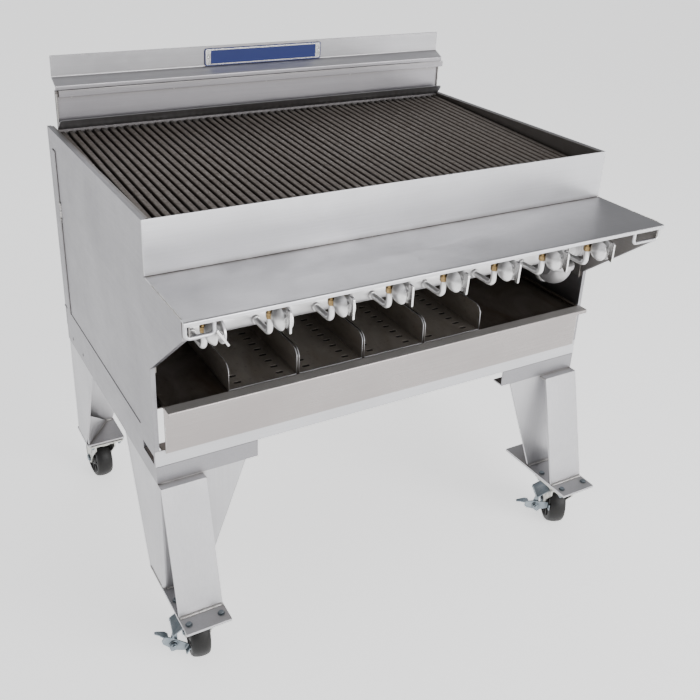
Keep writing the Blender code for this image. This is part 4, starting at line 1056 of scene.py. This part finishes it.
def grate(number):
    """Fourteen cast bars with crowned tops, low ribs and end rails."""
    low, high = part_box("grate_section_%d" % number)
    width = (high.x - low.x) / MM
    front_y, rear_y = 8, 661
    front_z, rear_z = -39.2, -5.5
    fall = math.atan2(rear_z - front_z, rear_y - front_y)
    run = (rear_y - front_y) / math.cos(fall)
    place = (BODY_PLACE @ Matrix.Translation(((low.x - MID_X) / MM, front_y, front_z))
             @ Matrix.Rotation(fall, 4, "X"))
    shape = Shape(place)
    rng = random.Random(19 + number)
    bars, stations, half = 14, 14, 6.8
    pitch = width / bars
    for bar in range(bars):
        x = (bar + 0.5) * pitch
        drop = rng.uniform(0, 0.7)
        lean = rng.uniform(-0.25, 0.25)
        section = [(1.6 - half, -18), (-half, -4.2 - drop), (0.7 - half, -1.3 - drop),
                   (2.3 - half + lean, -drop), (half - 2.3 + lean, -drop),
                   (half - 0.7, -1.3 - drop), (half, -4.2 - drop), (half - 1.6, -18)]
        part = bmesh.new()
        rings = []
        for step in range(stations + 1):
            y = run * step / stations
            wave = 0.35 * noise.noise(Vector((x * 0.05, y * 0.011, number - 1)))
            shrink = 1 if 0 < step < stations else 0.86
            rings.append([part.verts.new((x + a * shrink + wave * 0.6, y, b + wave))
                          for a, b in section])
        skin(part, rings)
        shape.take(part)
    for share in (0.012, 0.34, 0.66, 0.988):
        y = share * run
        shape.box((pitch * 0.5, y - 4, -17.6), (width - pitch * 0.5, y + 4, -7.5), bevel=1.2)
    shape.finish("grate_bars_%d" % number, [IRON], FIXED, ["grate_section_%d" % number],
                 sharp=50)


def drip_pan():
    shape = Shape()
    lip_y, face_y, rear_y, top = -40, -10, 688, -388
    path = [(lip_y, top - 9), (lip_y, top), (face_y, top), (face_y, -497)]
    shape.sheet(path, -2, 2.6, "X", -540, 540)
    # Floor and rear rim, then the side rims and their flanges.
    floor = top - 10
    boxes = [((-537, face_y - 1, floor - 2), (537, rear_y, floor)),
             ((-537, rear_y - 2, floor - 1.6), (537, rear_y, top - 1))]
    for side in (-1, 1):
        low, high = pair(side, 535, 537)
        boxes.append(((low, face_y - 0.5, floor - 1.6), (high, rear_y, top - 1)))
        low, high = pair(side, 529, 536.5)
        boxes.append(((low, face_y + 1, top - 2.6), (high, rear_y - 1, top - 1)))
        shape.bead((side * 538.6, face_y - 1, top - 6), (side * 538.6, face_y - 1, -494),
                   1.2, slot=2, seed=side)
    # Floor and rims take the greasy inner steel, darkened as painted shade.
    for low, high in boxes:
        shape.box(low, high, slot=1, bevel=0.4)
    # Return flange behind the lower edge of the face.
    foot = [(face_y, -487), (face_y, -496.8), (face_y + 8, -496.8)]
    shape.sheet(foot, 1.6, 2.2, "X", -538, 538)
    piece = shape.finish("pan_sheet", [PAN_STEEL, PAN_INSIDE_SHADED, WELD, PAN_LIP], PAN_BODY,
                         ["drip_pan"])
    repaint(piece, 3, lambda centre, normal: centre.y < face_y and normal.z > 0.6)


def tray(number):
    low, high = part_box("slotted_tray_%d" % number)
    centre = ((low.x + high.x) / 2 - MID_X) / MM
    half = (high.x - low.x) / 2 / MM
    start, end = [(y - FACE_Y) / MM for y in (low.y, high.y)]
    floor, top = [(z - TOP_Z) / MM for z in (low.z, high.z)]
    left, right = centre - half, centre + half
    shape = Shape()
    # Slots in a row along the right; the first two and last two have a fellow at the left.
    outlines = [[(left, start), (right, start), (right, end), (left, end)]]
    radius, inset = 4.6, 30
    for row in range(19):
        y = start + 20 + row * 28 + radius
        for x in (right - inset, left + inset)[:2 if row < 2 or row > 16 else 1]:
            outlines.append(arc((x - radius, y), radius, 90, 270, 6)
                            + arc((x + radius, y), radius, 270, 450, 6))
    shape.slab(outlines, floor, floor + 1.5)
    corner = 24
    wall = ([(start, floor + 0.2)] + arc((start + corner, top - corner), corner, 180, 90, 10)
            + [(end, top), (end, floor + 0.2)])
    for side in (-1, 1):
        near, far = pair(side, half - 1.5, half)
        shape.prism(wall, "X", centre + near, centre + far, bevel=0.35)
        # Rolled edge.
        x = centre + side * (half - 0.9)
        edge = [(x, start + 0.9, floor + 1)]
        edge += [(x, y + (0.9 if y < start + 1 else 0), z - 0.9) for y, z in wall[1:-1]]
        shape.tube(edge, 1.1, sides=8, slot=1)
    shape.tube([(left + 0.4, start + 1.4, floor + 1.6), (right - 0.4, start + 1.4, floor + 1.6)],
               1.4, sides=12, slot=1)
    # Near-black strips behind the slots: painted shade seen through them.
    for x in (left + inset, right - inset):
        shape.box((x - 14, start + 18, floor - 0.1), (x + 14, end - 3, floor + 0.3), slot=2)
    # Tray steel is greasy and set darker as painted shade.
    shape.finish("tray_%d" % number, [TRAY_STEEL_SHADED, STEEL_X, SLOT_SHADE], PAN_BODY,
                 ["slotted_tray_%d" % number])


# Assembly -------------------------------------------------------------------------------

for make in (add_camera, add_stage, side_panels, front_panel, front_shelf, backsplash,
             splash_deflector, nameplate, frame_members, leg_details):
    make()
for corner in CORNERS:
    wheel(corner)
    fork(corner)
    caster_mount(corner)
    if corner in BRAKE_TILT:
        brake_lever(corner)
manifold()
inlet_elbow()
for number in range(1, BURNERS + 1):
    gas_valve(number)
    valve_lever(number)
for number in range(1, SECTIONS + 1):
    grate(number)
    tray(number)
drip_pan()

bpy.context.view_layer.update()
